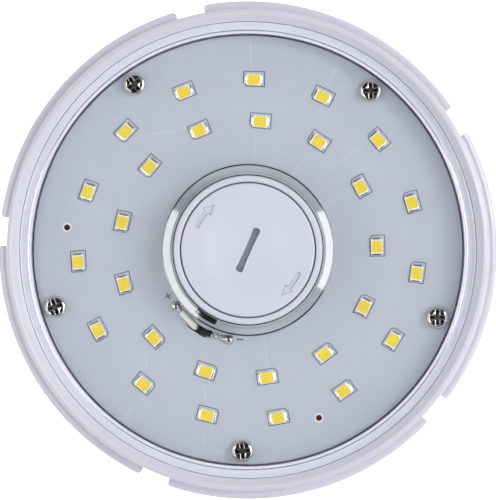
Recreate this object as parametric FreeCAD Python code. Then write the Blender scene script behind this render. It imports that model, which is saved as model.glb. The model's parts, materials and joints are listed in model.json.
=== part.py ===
"""LED corn bulb with a screw base, five curved light modules round the side and a lit end face.

The lamp stands on its screw base, +Z towards the lit end. The origin is the tip of the centre contact.
Seen from above, +X is to the right and +Y up, and angles run anticlockwise from +X.
All lengths are in millimetres and all angles in degrees.
"""
import FreeCAD, Part
import math
import os

Vec = FreeCAD.Vector
Z_AXIS = Vec(0, 0, 1)
CENTRE = Vec(0, 0, 0)

# Clearances
press_gap = 0.05        # between pieces that are pressed or screwed together
fit_gap = 0.15          # between pieces that slip into each other
cap_gap = 0.3           # ring gap round the port cap, seen as a dark line
component_gap = 2.0     # between the parts on the driver board
component_edge_gap = 5.0  # from the driver board's top edge to its parts

# Screw base
contact_radius = 8.0
contact_thickness = 2.2
contact_edge = 1.2      # rounding of the contact's tip
stem_radius = 1.5
insulator_height = 7.8
insulator_step = 1.6    # from the shell's bore in to the insulator's shoulder
insulator_rim = 2.0     # width of the flat ring round the contact
insulator_flange = 2.0  # thickness of the flange trapped in the shell
shell_bore = 17.0
shell_wall = 0.7
shell_lip = 0.8
shell_curl = 1.2        # slope at the foot of the shell's bore
shell_height = 35.0
thread_pitch = 6.35
thread_turns = 4
thread_depth = 1.8
ridge_share = 0.96      # width of the ridge's foot as a share of the pitch
run_in_share = 0.25     # slope of the thread's start, above and below its middle, as a share of the pitch
thread_lead_in = 2.0    # from the shell's foot to the start of the thread
collar_height = 5.5
collar_bulge = 1.3
collar_edge = 1.15      # rounding of the collar's lower edge
crimp_count = 8         # punch marks that hold the shell on the housing
crimp_radius = 1.1

# Driver housing
spigot_depth = 12.0
housing_wall = 2.0
neck_overhang = 3.3     # from the shell's wall out to the neck
neck_height = 5.0
flare_rise = 1.3636     # height of the flare for each mm that it widens
housing_screw_gap = 3.25  # from the housing out to the sink screws' heads
housing_height = 40.0
flare_rounding = 12.0
flute_count = 30
flute_radius = 1.1
flute_stand_off = 0.55  # from the housing's face out to the middle of a flute
flute_margin = 5.0      # plain band above and below the flutes
driver_board_side_room = 13.0  # from the housing's inside to the board's edge
driver_board_thickness = 1.6
driver_board_reach = 12.0  # how far the board goes down into the flare
driver_board_drop = 3.0  # from the housing's top edge to the board's
board_foot_rise = 2.0   # height of the arc that trims the board's foot
rail_grip = 3.0
rail_thickness = 1.6

# Driver parts
transformer_width = 24.0
transformer_height = 20.0
transformer_depth = 18.0
core_cheek = 4.4        # thickness of the ferrite round the winding
coil_radius = 7.0
capacitor_radius = 5.0
capacitor_rounding = 0.6
capacitor_height = 20.0
capacitor_count = 3
capacitor_spacing = 12.0
choke_radius = 7.0
choke_wire_radius = 2.6
choke_base_width = 11.2
choke_base_thickness = 3.9
rectifier_width = 14.0
rectifier_height = 11.0
rectifier_thickness = 3.5
mains_wire_radius = 1.0
mains_wire_bend = 4.0
mains_lap = 4.0         # length of the mains wires that lies on the driver board
mains_drop = 8.0        # straight stretch of them below the board
live_offset = 5.0
neutral_offset = 7.0
neutral_run = 9.0       # from the axis to the neutral wire's run down the neck
neck_entry = 6.0        # from the neck's top down to where the wires run straight
neutral_joint_drop = 3.0  # from the housing's spigot down to the neutral's joint
lead_spacing = 1.2      # half the distance between the two leads of a pair
lead_lap = 4.0          # length of a lead that lies on the driver board
socket_lead_offset = 6.0
socket_lead_rise = 25.0    # from the driver board's top to where the leads draw together
socket_lead_gather = 60.0  # from the driver board's top to where they run side by side

# Light body
body_radius = 60.5
module_count = 5
air_slot_width = 6.9
first_slot_angle = 31.65
module_length = 144.0
plate_thickness = 2.0
frame_step = 2.0        # thickness of the frames' inner webs
flange_width = 2.1      # radial width of the notched outer flange
notch_extra = 0.2       # how far the notches go past the flange into the wall
frame_wall = 3.0
cover_inset = 1.0       # from the flange's outer face to the cover's
cover_thickness = 1.6
cover_rounding = 0.95
cover_leg_reach = 7.3   # how far the covers' side legs go in
cover_seat_depth = 2.5
cover_to_face = 4.2     # from the cover's inside to the strips' seat
sink_wall = 2.2
sink_ledge = 2.6
fin_thickness = 1.6
fin_spacing = 7.0
fin_count = 7
fin_reach = 16.0
fin_rake = 0.3          # how much shorter the fins get for each mm off the middle
port_boss_radius = 3.2
ledge_lap = 1.5         # degrees by which the side ledges reach under the flat faces
strip_side_margin = 1.25
strip_thickness = 1.2
strip_end_margin = 1.0
strips_per_module = 3
strip_led_count = 14
strip_led_margin = 8.3  # from the module's ends to the middle of the first LED
strip_screw_radius = 1.0
strip_head_radius = 1.9
strip_head_height = 1.3
strip_head_edge = 0.6   # chamfer of the heads
strip_screw_length = 3.0
strip_screw_inset = 2.8  # from the strip's end to the screw

# Leads from the driver to the modules, each through the sink's wall to a joint on the middle strip
module_lead_radius = 0.6
module_lead_bend = 3.0
module_lead_spread = 3.5  # from the module's middle to its leads, between two fins
module_lead_rise = 6.0
module_lead_turn = 30.0   # from the axis to where a lead turns outwards
module_lead_step = 1.6    # between the two leads of a module on the driver board
module_joint_radius = 1.2
module_joint_height = 0.8
# Where each module's leads start on the driver board: its face, its end and the distance from the middle
module_lead_starts = ((1, 1, 8.0), (1, -1, 8.0), (-1, -1, 8.5), (-1, 1, 8.5), (-1, 1, 12.0))

# Lower frame
shroud_drop = 10.0      # height of the cone below the web
shroud_wall = 2.0
shroud_gap = 2.0        # air gap between the cone's lower edge and the housing
flange_foot = 5.0       # height of the notched flange above the web
vent_count = 30
vent_width = 2.6
web_rim = 6.0           # from the middle of the lower screws in to the web's bore
base_plate_bore = 20.0

# End frame, from the web up
flange_top = 9.0        # top of the notched flange above the web's underside
flange_rounding = 1.0
wall_top = 12.5         # top of the round wall above the web's underside
wall_outer_rounding = 1.1
wall_bevel_width = 1.65  # bevel round the lens
wall_bevel_drop = 1.5
crest_rounding = 0.2     # between the bevel and the wall's top
flange_fillet = 0.4      # hollow rounding between the wall and the flange
lens_skirt_wall = 2.0
lens_groove_floor = 9.3
board_gap = 0.3         # dark ring round the board
ledge_width = 0.6
ledge_top = 9.9
web_width = 6.0
relief_wall = 2.0       # left standing round the groove that lightens the frame from below

# End board
board_thickness = 1.6
screw_edge_distance = 3.3
screw_count = 5
first_screw_angle = 52.4
outer_ring_share = 0.6646  # of the way from the port's collar to the board's edge
inner_ring_share = 0.348
outer_ring_count = 15
outer_ring_angle = 16.1
inner_ring_count = 13
inner_ring_angle = 1.5
wire_slot_angle = 237.8
wire_slot_length = 6.0
wire_slot_width = 2.0
plate_slot_margin = 0.4  # how much wider the plate's slot is than the board's, each side
wire_slot_offset = 4.15  # from the board's central hole to the slot's middle
key_notch_depth = 0.9    # notch in the central hole of the board and its plate, under the lens's collar
key_notch_sweep = 17.0
tooling_hole_radius = 0.75
tooling_hole_inset = 7.8
tooling_hole_angles = (172.9, 292.9)

# LED packages
led_length = 3.5
led_width = 2.8
led_height = 0.7
gel_length = 2.8
gel_width = 2.3
gel_depth = 0.5
gel_dip = 0.08           # from the body's rim down to the gel
led_wall_draft = 0.1     # how much wider the pocket is at its mouth, each side

# Screws
screw_radius = 1.5
head_radius = 2.65
head_height = 2.1
head_rounding_share = 0.55  # rounding of the pan heads as a share of their height
screw_depth = 10.0       # length of thread in the sink
recess_share = 0.7       # length of the cross recess as a share of the head's diameter
recess_arm_share = 0.3   # width of the recess's arms as a share of its length
recess_depth_share = 0.65
small_screw_count = 3
post_inset = 7.0         # from the housing's inside to the middle of its screw posts
post_radius = 3.3
post_floor = 2.0

# Lens
lens_thickness = 2.0
lens_rise = 0.5          # top of the lens above the frame's wall
lens_rounding = 0.5
lens_collar_wall = 2.05
lens_bead_width = 2.5    # raised bead round the port
lens_bead_rise = 0.32
collar_rounding = 0.8
collar_gap = 0.25        # from the port to the lens's collar
gasket_thickness = 0.6

# Accessory port and its cap
port_radius = 18.0
port_board_gap = 0.6     # from the port to the board round it
rim_wall = 1.55
rim_rise = 0.6           # port rim above the lens
port_wall = 3.8
port_depth = 26.0
port_floor = 2.0
port_flange = 3.0
port_flange_thickness = 3.0
socket_radius = 10.0
socket_height = 5.0
socket_pin_radius = 1.0
socket_pin_circle = 5.0
socket_pin_count = 4
cap_thickness = 2.4
cap_rounding = 0.5
cap_gasket_thickness = 1.0
skirt_wall = 2.0
skirt_clearance = 0.6    # between the skirt and the port's bore, room for the thread
skirt_depth = 6.0
dish_radius = 11.4
dish_depth = 0.15
coin_slot_length = 11.1
coin_slot_width = 1.5
coin_slot_depth = 1.4
coin_slot_rounding = 0.45
coin_slot_angle = 66.0
arrow_radius = 13.5
arrow_tail_angle = 156.0
arrow_sweep = 19.0
arrow_head_sweep = 10.0
arrow_stroke = 0.85
arrow_head_width = 2.3
arrow_depth = 0.25
arrow_count = 2

# Supply wires and solder
wire_radius = 0.8
wire_pair_spacing = 2.0
wire_bend = 1.6
supply_offset = 4.0
supply_rise = 12.0       # from the driver board's top to where the wires lean over
supply_gather = 40.0     # from the driver board's top to where they stand under their slot
joint_angle = 20.0       # solder joints, each side of the wire slot
joint_inset = 0.45       # how much nearer the axis the joints are than the slot
joint_radius = 1.35
joint_height = 1.45
white_bare_length = 1.95  # from the middle of its joint to the end of the white wire's jacket
black_bare_length = 4.4
tinned_radius = 0.5

# Base radii
insulator_shoulder = shell_bore - insulator_step
shell_root = shell_bore + shell_wall
thread_crest = shell_root + thread_depth
neck_radius = shell_root + neck_overhang

# Radii of the light body, from the outside in
flange_inner = body_radius - flange_width
wall_inner = flange_inner - frame_wall
crest_radius = wall_inner + wall_bevel_width
lens_radius = wall_inner - fit_gap
lens_skirt_inner = lens_radius - lens_skirt_wall
groove_inner = lens_skirt_inner - fit_gap
ledge_inner = groove_inner - ledge_width
board_radius = ledge_inner - board_gap
web_inner = ledge_inner - web_width
cover_outer = body_radius - cover_inset
cover_inner = cover_outer - cover_thickness
face_distance = cover_inner - cover_to_face
screw_circle = board_radius - screw_edge_distance
housing_radius = screw_circle - head_radius - housing_screw_gap
housing_inner = housing_radius - housing_wall
small_screw_circle = housing_inner - post_inset
web_bore = small_screw_circle - web_rim
flare_height = flare_rise * (housing_radius - neck_radius)

# Heights along the axis, from the tip up
insulator_top = contact_thickness + insulator_height
shell_foot = insulator_top - shell_lip
lip_slope = shell_curl + shell_lip / 2
shell_top = shell_foot + shell_height
neck_top = shell_top + neck_height
flare_top = neck_top + flare_height
housing_top = flare_top + housing_height
web_top = housing_top + frame_step
sink_foot = web_top + plate_thickness
sink_top = sink_foot + module_length
frame_base = sink_top
end_plate_foot = frame_base + frame_step
board_foot = end_plate_foot + plate_thickness
board_top = board_foot + board_thickness
frame_top = frame_base + wall_top
lens_top = frame_top + lens_rise
lens_foot = lens_top - lens_thickness
port_top = lens_top + rim_rise
port_bottom = port_top - port_depth

# Angles of one light module
module_pitch = 360.0 / module_count
slot_half_angle = math.degrees(math.asin(air_slot_width / 2 / body_radius))
cover_half_angle = module_pitch / 2 - slot_half_angle
leg_angle = math.degrees((cover_thickness + fit_gap) / face_distance)
sink_half_angle = cover_half_angle - leg_angle
facet_angle = 2 * sink_half_angle / strips_per_module
first_module_angle = first_slot_angle + module_pitch / 2
first_screw_module = first_screw_angle - first_module_angle
first_small_screw_angle = first_slot_angle + module_pitch
strip_width = 2 * (face_distance * math.tan(math.radians(facet_angle / 2)) - strip_side_margin)
strip_led_pitch = (module_length - 2 * strip_led_margin) / (strip_led_count - 1)
module_lead_height = sink_foot + strip_led_margin + strip_led_pitch / 2

# Port radii
rim_inner = port_radius - rim_wall
port_bore = port_radius - port_wall
cap_radius = rim_inner - cap_gap
board_bore = port_radius + port_board_gap
collar_inner = port_radius + collar_gap
collar_outer = collar_inner + lens_collar_wall
cap_foot = port_top - cap_thickness
rim_depth = cap_thickness + cap_gasket_thickness
skirt_outer = port_bore - skirt_clearance
wire_slot_radius = board_bore + wire_slot_offset
outer_ring_radius = collar_outer + outer_ring_share * (board_radius - collar_outer)
inner_ring_radius = collar_outer + inner_ring_share * (board_radius - collar_outer)

# Driver board and the parts on it, from its top edge down
driver_board_width = 2 * (housing_inner - driver_board_side_room)
driver_board_top = housing_top - driver_board_drop
driver_board_foot = flare_top - driver_board_reach
capacitor_middle = driver_board_top - component_edge_gap - capacitor_radius
transformer_middle = capacitor_middle - capacitor_radius - component_gap - transformer_height / 2
rectifier_foot = driver_board_top - component_edge_gap - rectifier_height
choke_middle = rectifier_foot - component_gap - choke_radius - choke_wire_radius

# Heights of the screws and wires at the end board
wire_rise = board_top + wire_radius + press_gap


def point(radius, angle, z=0.0):
    """A point from its distance to the axis, its angle and its height."""
    turn = math.radians(angle)
    return Vec(radius * math.cos(turn), radius * math.sin(turn), z)


def turned(shape, angle):
    """A copy of the shape turned about the lamp's axis."""
    copy = shape.copy()
    copy.rotate(CENTRE, Z_AXIS, angle)
    return copy


def moved(shape, offset):
    """A copy of the shape moved by a vector."""
    copy = shape.copy()
    copy.translate(offset)
    return copy


def tube(inner, outer, low, high):
    """A round tube about the lamp's axis."""
    outside = Part.makeCylinder(outer, high - low, Vec(0, 0, low))
    return outside.cut(Part.makeCylinder(inner, high - low, Vec(0, 0, low)))


def disc(radius, low, high):
    """A round bar about the lamp's axis."""
    return Part.makeCylinder(radius, high - low, Vec(0, 0, low))


def spun(outline):
    """A solid of revolution from (radius, height) points, closed by itself."""
    corners = [Vec(r, 0, z) for r, z in outline]
    face = Part.Face(Part.makePolygon(corners + corners[:1]))
    return face.revolve(CENTRE, Z_AXIS, 360)


def slab(length, width, low, high):
    """A rectangular block, centred on the axis in plan."""
    return Part.makeBox(length, width, high - low, Vec(-length / 2, -width / 2, low))


def ring_edges(shape, radius, height):
    """The round edges of the shape that have this radius and lie at this height."""
    found = []
    for edge in shape.Edges:
        curve = edge.Curve
        if not isinstance(curve, Part.Circle):
            continue
        if abs(curve.Radius - radius) < 1e-4 and abs(curve.Center.z - height) < 1e-4:
            found.append(edge)
    return found


def rounded(shape, radius, height, rounding):
    """The shape with its round edges of this radius and height filleted."""
    return shape.makeFillet(rounding, ring_edges(shape, radius, height))


def pattern(shape, count, first=0.0):
    """Copies of the shape, evenly spaced about the axis."""
    return [turned(shape, first + k * 360.0 / count) for k in range(count)]


def wire_along(points, radius, bend):
    """A round wire of this radius along straight runs joined by tangent arcs."""
    edges = []
    start = points[0]
    for before, corner, after in zip(points, points[1:], points[2:]):
        inward = (before - corner).normalize()
        outward = (after - corner).normalize()
        half = inward.getAngle(outward) / 2
        cut_back = bend / math.tan(half)
        arc_start = corner + inward * cut_back
        arc_end = corner + outward * cut_back
        bisector = (inward + outward).normalize()
        arc_middle = corner + bisector * (bend / math.sin(half) - bend)
        edges.append(Part.makeLine(start, arc_start))
        edges.append(Part.Arc(arc_start, arc_middle, arc_end).toShape())
        start = arc_end
    edges.append(Part.makeLine(start, points[-1]))
    path = Part.Wire(edges)
    heading = points[1] - points[0]
    section = Part.Wire(Part.makeCircle(radius, points[0], heading))
    return path.makePipeShell([section], True, False)


def centre_contact():
    """The brass button at the tip, with the stem that its lead is soldered to."""
    button = disc(contact_radius, 0, contact_thickness)
    button = rounded(button, contact_radius, 0, contact_edge)
    stem = disc(stem_radius, contact_thickness / 2, insulator_top)
    return button.fuse(stem).removeSplitter()


def base_insulator():
    """The black glass cone between the contact and the shell, trapped by its flange."""
    flange_radius = shell_bore - press_gap
    cone = spun([
        (stem_radius + press_gap, contact_thickness),
        (contact_radius + insulator_rim, contact_thickness),
        (insulator_shoulder, shell_foot - shell_lip),
        (insulator_shoulder, insulator_top),
        (flange_radius - shell_curl, insulator_top),
        (flange_radius, insulator_top + shell_curl),
        (flange_radius, insulator_top + insulator_flange),
        (stem_radius + press_gap, insulator_top + insulator_flange),
    ])
    return cone


def thread_ridge(first_height):
    """The rolled round ridge of the screw shell, as one helical solid."""
    half = thread_pitch * ridge_share / 2
    sunk = shell_root - shell_wall / 2
    helix = Part.makeLongHelix(thread_pitch, thread_pitch * thread_turns, shell_root, 0)
    path = Part.Wire(helix.Edges)
    path.translate(Vec(0, 0, first_height))
    low = Vec(sunk, 0, first_height - half)
    crest = Vec(thread_crest, 0, first_height)
    high = Vec(sunk, 0, first_height + half)
    section = Part.Wire([Part.Arc(low, crest, high).toShape(), Part.makeLine(high, low)])
    return path.makePipeShell([section], True, True)


def screw_shell():
    """The plated shell with its rolled thread, lip and plain collar."""
    foot_radius = insulator_shoulder + fit_gap
    first_height = shell_foot + thread_lead_in + thread_pitch / 2
    body = spun([
        (foot_radius, shell_foot), (shell_root - lip_slope, shell_foot), (shell_root, shell_foot + lip_slope),
        (shell_root, shell_top), (0, shell_top), (0, insulator_top + shell_curl),
        (shell_bore, insulator_top + shell_curl), (shell_bore - shell_curl, insulator_top),
        (foot_radius, insulator_top),
    ])
    collar = disc(shell_root + collar_bulge, shell_top - collar_height, shell_top)
    collar = rounded(collar, shell_root + collar_bulge, shell_top - collar_height, collar_edge)
    run_in = spun([
        (shell_root, shell_foot - thread_pitch),
        (thread_crest + thread_depth, shell_foot - thread_pitch),
        (thread_crest + thread_depth, first_height + 3 * run_in_share * thread_pitch),
        (shell_root, first_height - run_in_share * thread_pitch),
    ])
    body = body.fuse([thread_ridge(first_height).cut(run_in), collar])
    body = body.cut(disc(shell_bore, insulator_top + shell_curl, shell_top + 1))
    crimp = Part.makeSphere(crimp_radius, Vec(shell_root + collar_bulge + crimp_radius / 2, 0,
                                              shell_top - collar_height / 2))
    return body.cut(Part.makeCompound(pattern(crimp, crimp_count)))


def driver_housing():
    """The white housing: spigot in the shell, neck, flare and fluted barrel, with the board's rails."""
    spigot_radius = shell_bore - press_gap
    spigot_foot = shell_top - spigot_depth
    outside = spun([
        (0, spigot_foot), (spigot_radius, spigot_foot), (spigot_radius, shell_top),
        (neck_radius, shell_top), (neck_radius, neck_top),
        (housing_radius, flare_top), (housing_radius, housing_top), (0, housing_top),
    ])
    bends = ring_edges(outside, neck_radius, neck_top) + ring_edges(outside, housing_radius, flare_top)
    outside = outside.makeFillet(flare_rounding, bends)
    flute = Part.makeCylinder(flute_radius, housing_height - 2 * flute_margin,
                              Vec(housing_radius + flute_stand_off, 0, flare_top + flute_margin))
    inside = spun([
        (0, spigot_foot - 1), (spigot_radius - housing_wall, spigot_foot - 1),
        (spigot_radius - housing_wall, shell_top + housing_wall),
        (neck_radius - housing_wall, neck_top + housing_wall),
        (housing_inner, flare_top + housing_wall),
        (housing_inner, housing_top + 1), (0, housing_top + 1),
    ])
    shell = outside.cut(inside).cut(Part.makeCompound(pattern(flute, flute_count)))
    return shell.fuse(board_rails()).fuse(screw_posts()).removeSplitter()


def board_rails():
    """Two pairs of ribs on the housing's inside that grip the driver board's edges."""
    slot = driver_board_thickness + 2 * fit_gap
    block = slab(2 * housing_inner + housing_wall, slot + 2 * rail_thickness,
                 flare_top, housing_top - driver_board_drop)
    block = block.cut(slab(driver_board_width - 2 * rail_grip, slot + 2 * rail_thickness + 1,
                           flare_top - 1, housing_top + 1))
    block = block.cut(slab(driver_board_width + 2 * fit_gap, slot, flare_top - 1, housing_top + 1))
    return block.common(disc(housing_radius - housing_wall / 2, flare_top, housing_top))


def screw_posts():
    """Three posts on the housing's inside that take the screws of the lower frame."""
    foot = housing_top - screw_depth - post_floor
    height = screw_depth + post_floor
    post = Part.makeCylinder(post_radius, height, Vec(small_screw_circle, 0, foot))
    web = Part.makeBox(post_inset + housing_wall / 2, fin_thickness, height,
                       Vec(small_screw_circle, -fin_thickness / 2, foot))
    hole = Part.makeCylinder(screw_radius, height, Vec(small_screw_circle, 0, foot + post_floor))
    return pattern(post.fuse(web).cut(hole), small_screw_count, first_small_screw_angle)


def driver_board():
    """The driver's circuit board, upright in the housing's rails, its foot trimmed to an arc."""
    board = slab(driver_board_width, driver_board_thickness, driver_board_foot, driver_board_top)
    arc_radius = driver_board_top - driver_board_foot + driver_board_width / 2
    arc_middle = Vec(0, -driver_board_thickness, driver_board_foot + arc_radius - board_foot_rise)
    arc = Part.makeCylinder(arc_radius, driver_board_thickness * 3, arc_middle, Vec(0, 1, 0))
    return board.common(arc)


def on_driver_board(shape, across, height):
    """The shape, modelled on the plane y = 0, set on the front of the driver board."""
    return moved(shape, Vec(across, driver_board_thickness / 2, height))


def transformer():
    """A ferrite core in an E shape with its round winding between the cheeks."""
    half = transformer_height / 2
    core = Part.makeBox(transformer_width, transformer_depth, transformer_height,
                        Vec(-transformer_width / 2, 0, -half))
    window_width = transformer_width - 2 * core_cheek
    window_height = transformer_height - 2 * core_cheek
    window = Part.makeBox(window_width, transformer_depth + 2, window_height,
                          Vec(-window_width / 2, -1, -window_height / 2))
    winding = Part.makeCylinder(coil_radius, window_height, Vec(0, transformer_depth / 2, -window_height / 2))
    pins = Part.makeBox(window_width, transformer_depth / 2, core_cheek,
                        Vec(-window_width / 2, 0, -window_height / 2))
    body = core.cut(window).fuse([winding, pins]).removeSplitter()
    return on_driver_board(body, 0, transformer_middle)


def capacitors():
    """Electrolytic capacitors in a row above the transformer."""
    cans = []
    for k in range(capacitor_count):
        across = (k - (capacitor_count - 1) / 2) * capacitor_spacing
        can = Part.makeCylinder(capacitor_radius, capacitor_height, CENTRE, Vec(0, 1, 0))
        rim = [e for e in can.Edges if isinstance(e.Curve, Part.Circle) and e.Curve.Center.y > 1]
        can = can.makeFillet(capacitor_rounding, rim)
        cans.append(on_driver_board(can, across, capacitor_middle))
    return Part.makeCompound(cans)


def choke():
    """A wound ring coil on the board's other face."""
    ring = Part.makeTorus(choke_radius, choke_wire_radius, CENTRE, Vec(0, 1, 0))
    base = Part.makeBox(choke_base_width, choke_base_thickness, choke_base_width,
                        Vec(-choke_base_width / 2, -choke_wire_radius, -choke_base_width / 2))
    drop = driver_board_thickness / 2 + choke_wire_radius
    return moved(mirrored_y(ring.fuse(base)), Vec(0, -drop, choke_middle))


def mirrored_y(shape):
    """The shape mirrored in the plane y = 0."""
    return shape.mirror(CENTRE, Vec(0, 1, 0))


def rectifier():
    """The bridge rectifier, flat on the board's other face."""
    return Part.makeBox(rectifier_width, rectifier_thickness, rectifier_height,
                        Vec(-rectifier_width / 2, -rectifier_thickness - driver_board_thickness / 2,
                            rectifier_foot))


def mains_wires():
    """The two leads from the driver board to the contact's stem and to the shell."""
    front = driver_board_thickness / 2 + mains_wire_radius + press_gap
    lap_top = driver_board_foot + mains_lap
    bend_height = driver_board_foot - mains_drop
    neck_height_in = neck_top - neck_entry
    live = wire_along([
        Vec(-live_offset, front, lap_top), Vec(-live_offset, front, bend_height),
        Vec(0, 0, neck_height_in), Vec(0, 0, insulator_top + insulator_flange),
    ], mains_wire_radius, mains_wire_bend)
    joint_height = shell_top - spigot_depth - neutral_joint_drop
    neutral = wire_along([
        Vec(neutral_offset, front, lap_top), Vec(neutral_offset, front, bend_height),
        Vec(neutral_run, 0, neck_height_in), Vec(neutral_run, 0, joint_height),
        Vec(shell_bore - press_gap, 0, joint_height),
    ], mains_wire_radius, mains_wire_bend)
    return Part.makeCompound([live, neutral])


def lower_screws():
    """The screws that hold the lower frame and its plate to the driver housing."""
    length = screw_depth + frame_step + plate_thickness - fit_gap
    screw = pan_screw(screw_radius, head_radius, head_height, length)
    screw = moved(screw, Vec(small_screw_circle, 0, web_top + plate_thickness))
    return Part.makeCompound(pattern(screw, small_screw_count, first_small_screw_angle))


def sink_screws():
    """The five screws from below that hold the sinks to the lower frame and its plate."""
    screw = pan_screw(screw_radius, head_radius, head_height, screw_depth + frame_step + plate_thickness)
    screw.rotate(CENTRE, Vec(1, 0, 0), 180)
    screw = moved(screw, Vec(screw_circle, 0, housing_top))
    return Part.makeCompound(pattern(screw, screw_count, first_screw_angle))


def pan_screw(shank_radius, head, rise, length):
    """A pan-head screw with a cross recess, its seat on z = 0 and its shank below."""
    body = rounded(Part.makeCylinder(head, rise), head, rise, rise * head_rounding_share)
    recess_length = 2 * head * recess_share
    recess_floor = rise * (1 - recess_depth_share)
    arm = slab(recess_length, recess_length * recess_arm_share, recess_floor, rise + 1)
    shank = Part.makeCylinder(shank_radius - press_gap, length, Vec(0, 0, -length))
    return body.cut(arm.fuse(turned(arm, 90))).fuse(shank)


def notches(low, high):
    """Five round-floored blocks that open the air slots in a flange, between two heights."""
    floor_radius = flange_inner - notch_extra
    block = Part.makeBox(body_radius, air_slot_width, high - low,
                         Vec(flange_inner / 2, -air_slot_width / 2, low))
    block = block.cut(disc(floor_radius, low - 1, high + 1))
    return Part.makeCompound(pattern(block, module_count, first_slot_angle))


def cover_grooves(low, high):
    """The arcs that the ends of the side covers stand in, between two heights."""
    groove = tube(cover_inner - fit_gap, cover_outer + fit_gap, low, high)
    return groove


def lower_frame():
    """The white frame under the modules: web, vented cone and notched flange."""
    skirt_foot = housing_top - shroud_drop
    cone_radius = housing_radius + shroud_gap
    flange_high = sink_foot + flange_foot
    outside = spun([
        (cone_radius, skirt_foot), (cone_radius + shroud_wall, skirt_foot),
        (body_radius, housing_top), (body_radius, flange_high),
        (flange_inner, flange_high), (flange_inner, web_top),
        (web_bore, web_top), (web_bore, housing_top),
        (flange_inner - shroud_wall, housing_top),
    ])
    vent = Part.makeBox(body_radius, vent_width, shroud_drop - 2 * shroud_wall,
                        Vec(housing_radius, -vent_width / 2, skirt_foot + shroud_wall))
    outside = outside.cut(Part.makeCompound(pattern(vent, vent_count, 180.0 / vent_count)))
    outside = outside.cut(notches(web_top, flange_high + 1))
    outside = outside.cut(cover_grooves(flange_high - cover_seat_depth, flange_high + 1))
    return outside.cut(lower_screw_holes())


def base_plate():
    """The aluminium plate that the five sinks stand on."""
    plate = tube(base_plate_bore, flange_inner - fit_gap, web_top, sink_foot)
    return plate.cut(lower_screw_holes())


def lower_screw_holes():
    """Cylinders that cut the screw holes through the lower frame's web and the plate on it."""
    reach = frame_step + plate_thickness + 2
    inner = Part.makeCylinder(screw_radius + fit_gap, reach, Vec(small_screw_circle, 0, housing_top - 1))
    outer = Part.makeCylinder(screw_radius + fit_gap, reach, Vec(screw_circle, 0, housing_top - 1))
    return Part.makeCompound(pattern(inner, small_screw_count, first_small_screw_angle)
                             + pattern(outer, screw_count, first_screw_angle))


def facet_plane_block(distance, inner, angle, low, high):
    """One flat-faced block of a module: its outer face lies this far from the axis."""
    half = distance * math.tan(math.radians(facet_angle / 2))
    inner_half = inner * math.tan(math.radians(facet_angle / 2))
    corners = [Vec(inner, -inner_half, low), Vec(distance, -half, low), Vec(distance, half, low),
               Vec(inner, inner_half, low)]
    face = Part.Face(Part.makePolygon(corners + corners[:1]))
    return turned(face.extrude(Vec(0, 0, high - low)), angle)


def facet_angles():
    """The angles of a module's flat faces, from its own middle."""
    return [(k - (strips_per_module - 1) / 2) * facet_angle for k in range(strips_per_module)]


def sector(inner, outer, half_angle, low, high):
    """A piece of a round tube, symmetrical about +X."""
    ring = Part.makeCylinder(outer, high - low, Vec(0, 0, low), Z_AXIS, 2 * half_angle)
    ring = ring.cut(Part.makeCylinder(inner, high - low, Vec(0, 0, low)))
    return turned(ring, -half_angle)


def side_sink():
    """One extruded aluminium sink: three flat faces, side ledges, fins and a screw channel."""
    wall_inner_face = face_distance - sink_wall
    whole = [facet_plane_block(face_distance, wall_inner_face - fin_reach, a, sink_foot, sink_top)
             for a in facet_angles()]
    wall = [facet_plane_block(face_distance, wall_inner_face, a, sink_foot, sink_top) for a in facet_angles()]
    envelope = whole[0].fuse(whole[1:])
    fins = []
    for k in range(fin_count):
        across = (k - (fin_count - 1) / 2) * fin_spacing
        start = wall_inner_face - fin_reach + fin_rake * abs(across)
        fins.append(Part.makeBox(face_distance, fin_thickness, sink_top - sink_foot,
                                 Vec(start, across - fin_thickness / 2, sink_foot)))
    ledge_outer = cover_outer - cover_leg_reach - press_gap
    ledges = sector(ledge_outer - sink_ledge, ledge_outer, cover_half_angle, sink_foot, sink_top)
    between = sector(ledge_outer / 2, body_radius, sink_half_angle - ledge_lap, sink_foot - 1, sink_top + 1)
    ledges = ledges.cut(between)
    boss_centre = point(screw_circle, first_screw_module, sink_foot)
    boss = Part.makeCylinder(port_boss_radius, sink_top - sink_foot, boss_centre)
    fins_in = Part.makeCompound(fins).common(envelope)
    body = wall[0].fuse(wall[1:] + [fins_in, ledges, boss.common(envelope)])
    channel = Part.makeCylinder(screw_radius, sink_top - sink_foot + 2, boss_centre - Vec(0, 0, 1))
    return body.removeSplitter().cut([channel, strip_screw_holes(strip_screw_radius), module_lead_holes()])


def strip_screws():
    """The small screws at the ends of one module's strips, held in the sink's wall."""
    head = Part.makeCylinder(strip_head_radius, strip_head_height)
    head = head.makeChamfer(strip_head_edge, ring_edges(head, strip_head_radius, strip_head_height))
    slot_length = 2 * strip_head_radius * recess_share
    slot = slab(slot_length, slot_length * recess_arm_share, strip_head_height * (1 - recess_depth_share),
                strip_head_height + 1)
    shank = Part.makeCylinder(strip_screw_radius - press_gap, strip_screw_length,
                              Vec(0, 0, -strip_screw_length))
    screw = head.cut(slot.fuse(turned(slot, 90))).fuse(shank)
    screw.rotate(CENTRE, Vec(0, 1, 0), 90)
    screw = moved(screw, Vec(face_distance + strip_thickness, 0, 0))
    return Part.makeCompound([moved(turned(screw, a), Vec(0, 0, z)) for a in facet_angles()
                              for z in strip_screw_heights()])


def strip_screw_holes(radius):
    """Cylinders that cut the holes of a module's strip screws, at this radius."""
    inside = face_distance - sink_wall - 1
    reach = sink_wall + strip_thickness + 2
    return Part.makeCompound([Part.makeCylinder(radius, reach, point(inside, a, z), point(1, a))
                              for a in facet_angles() for z in strip_screw_heights()])


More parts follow.
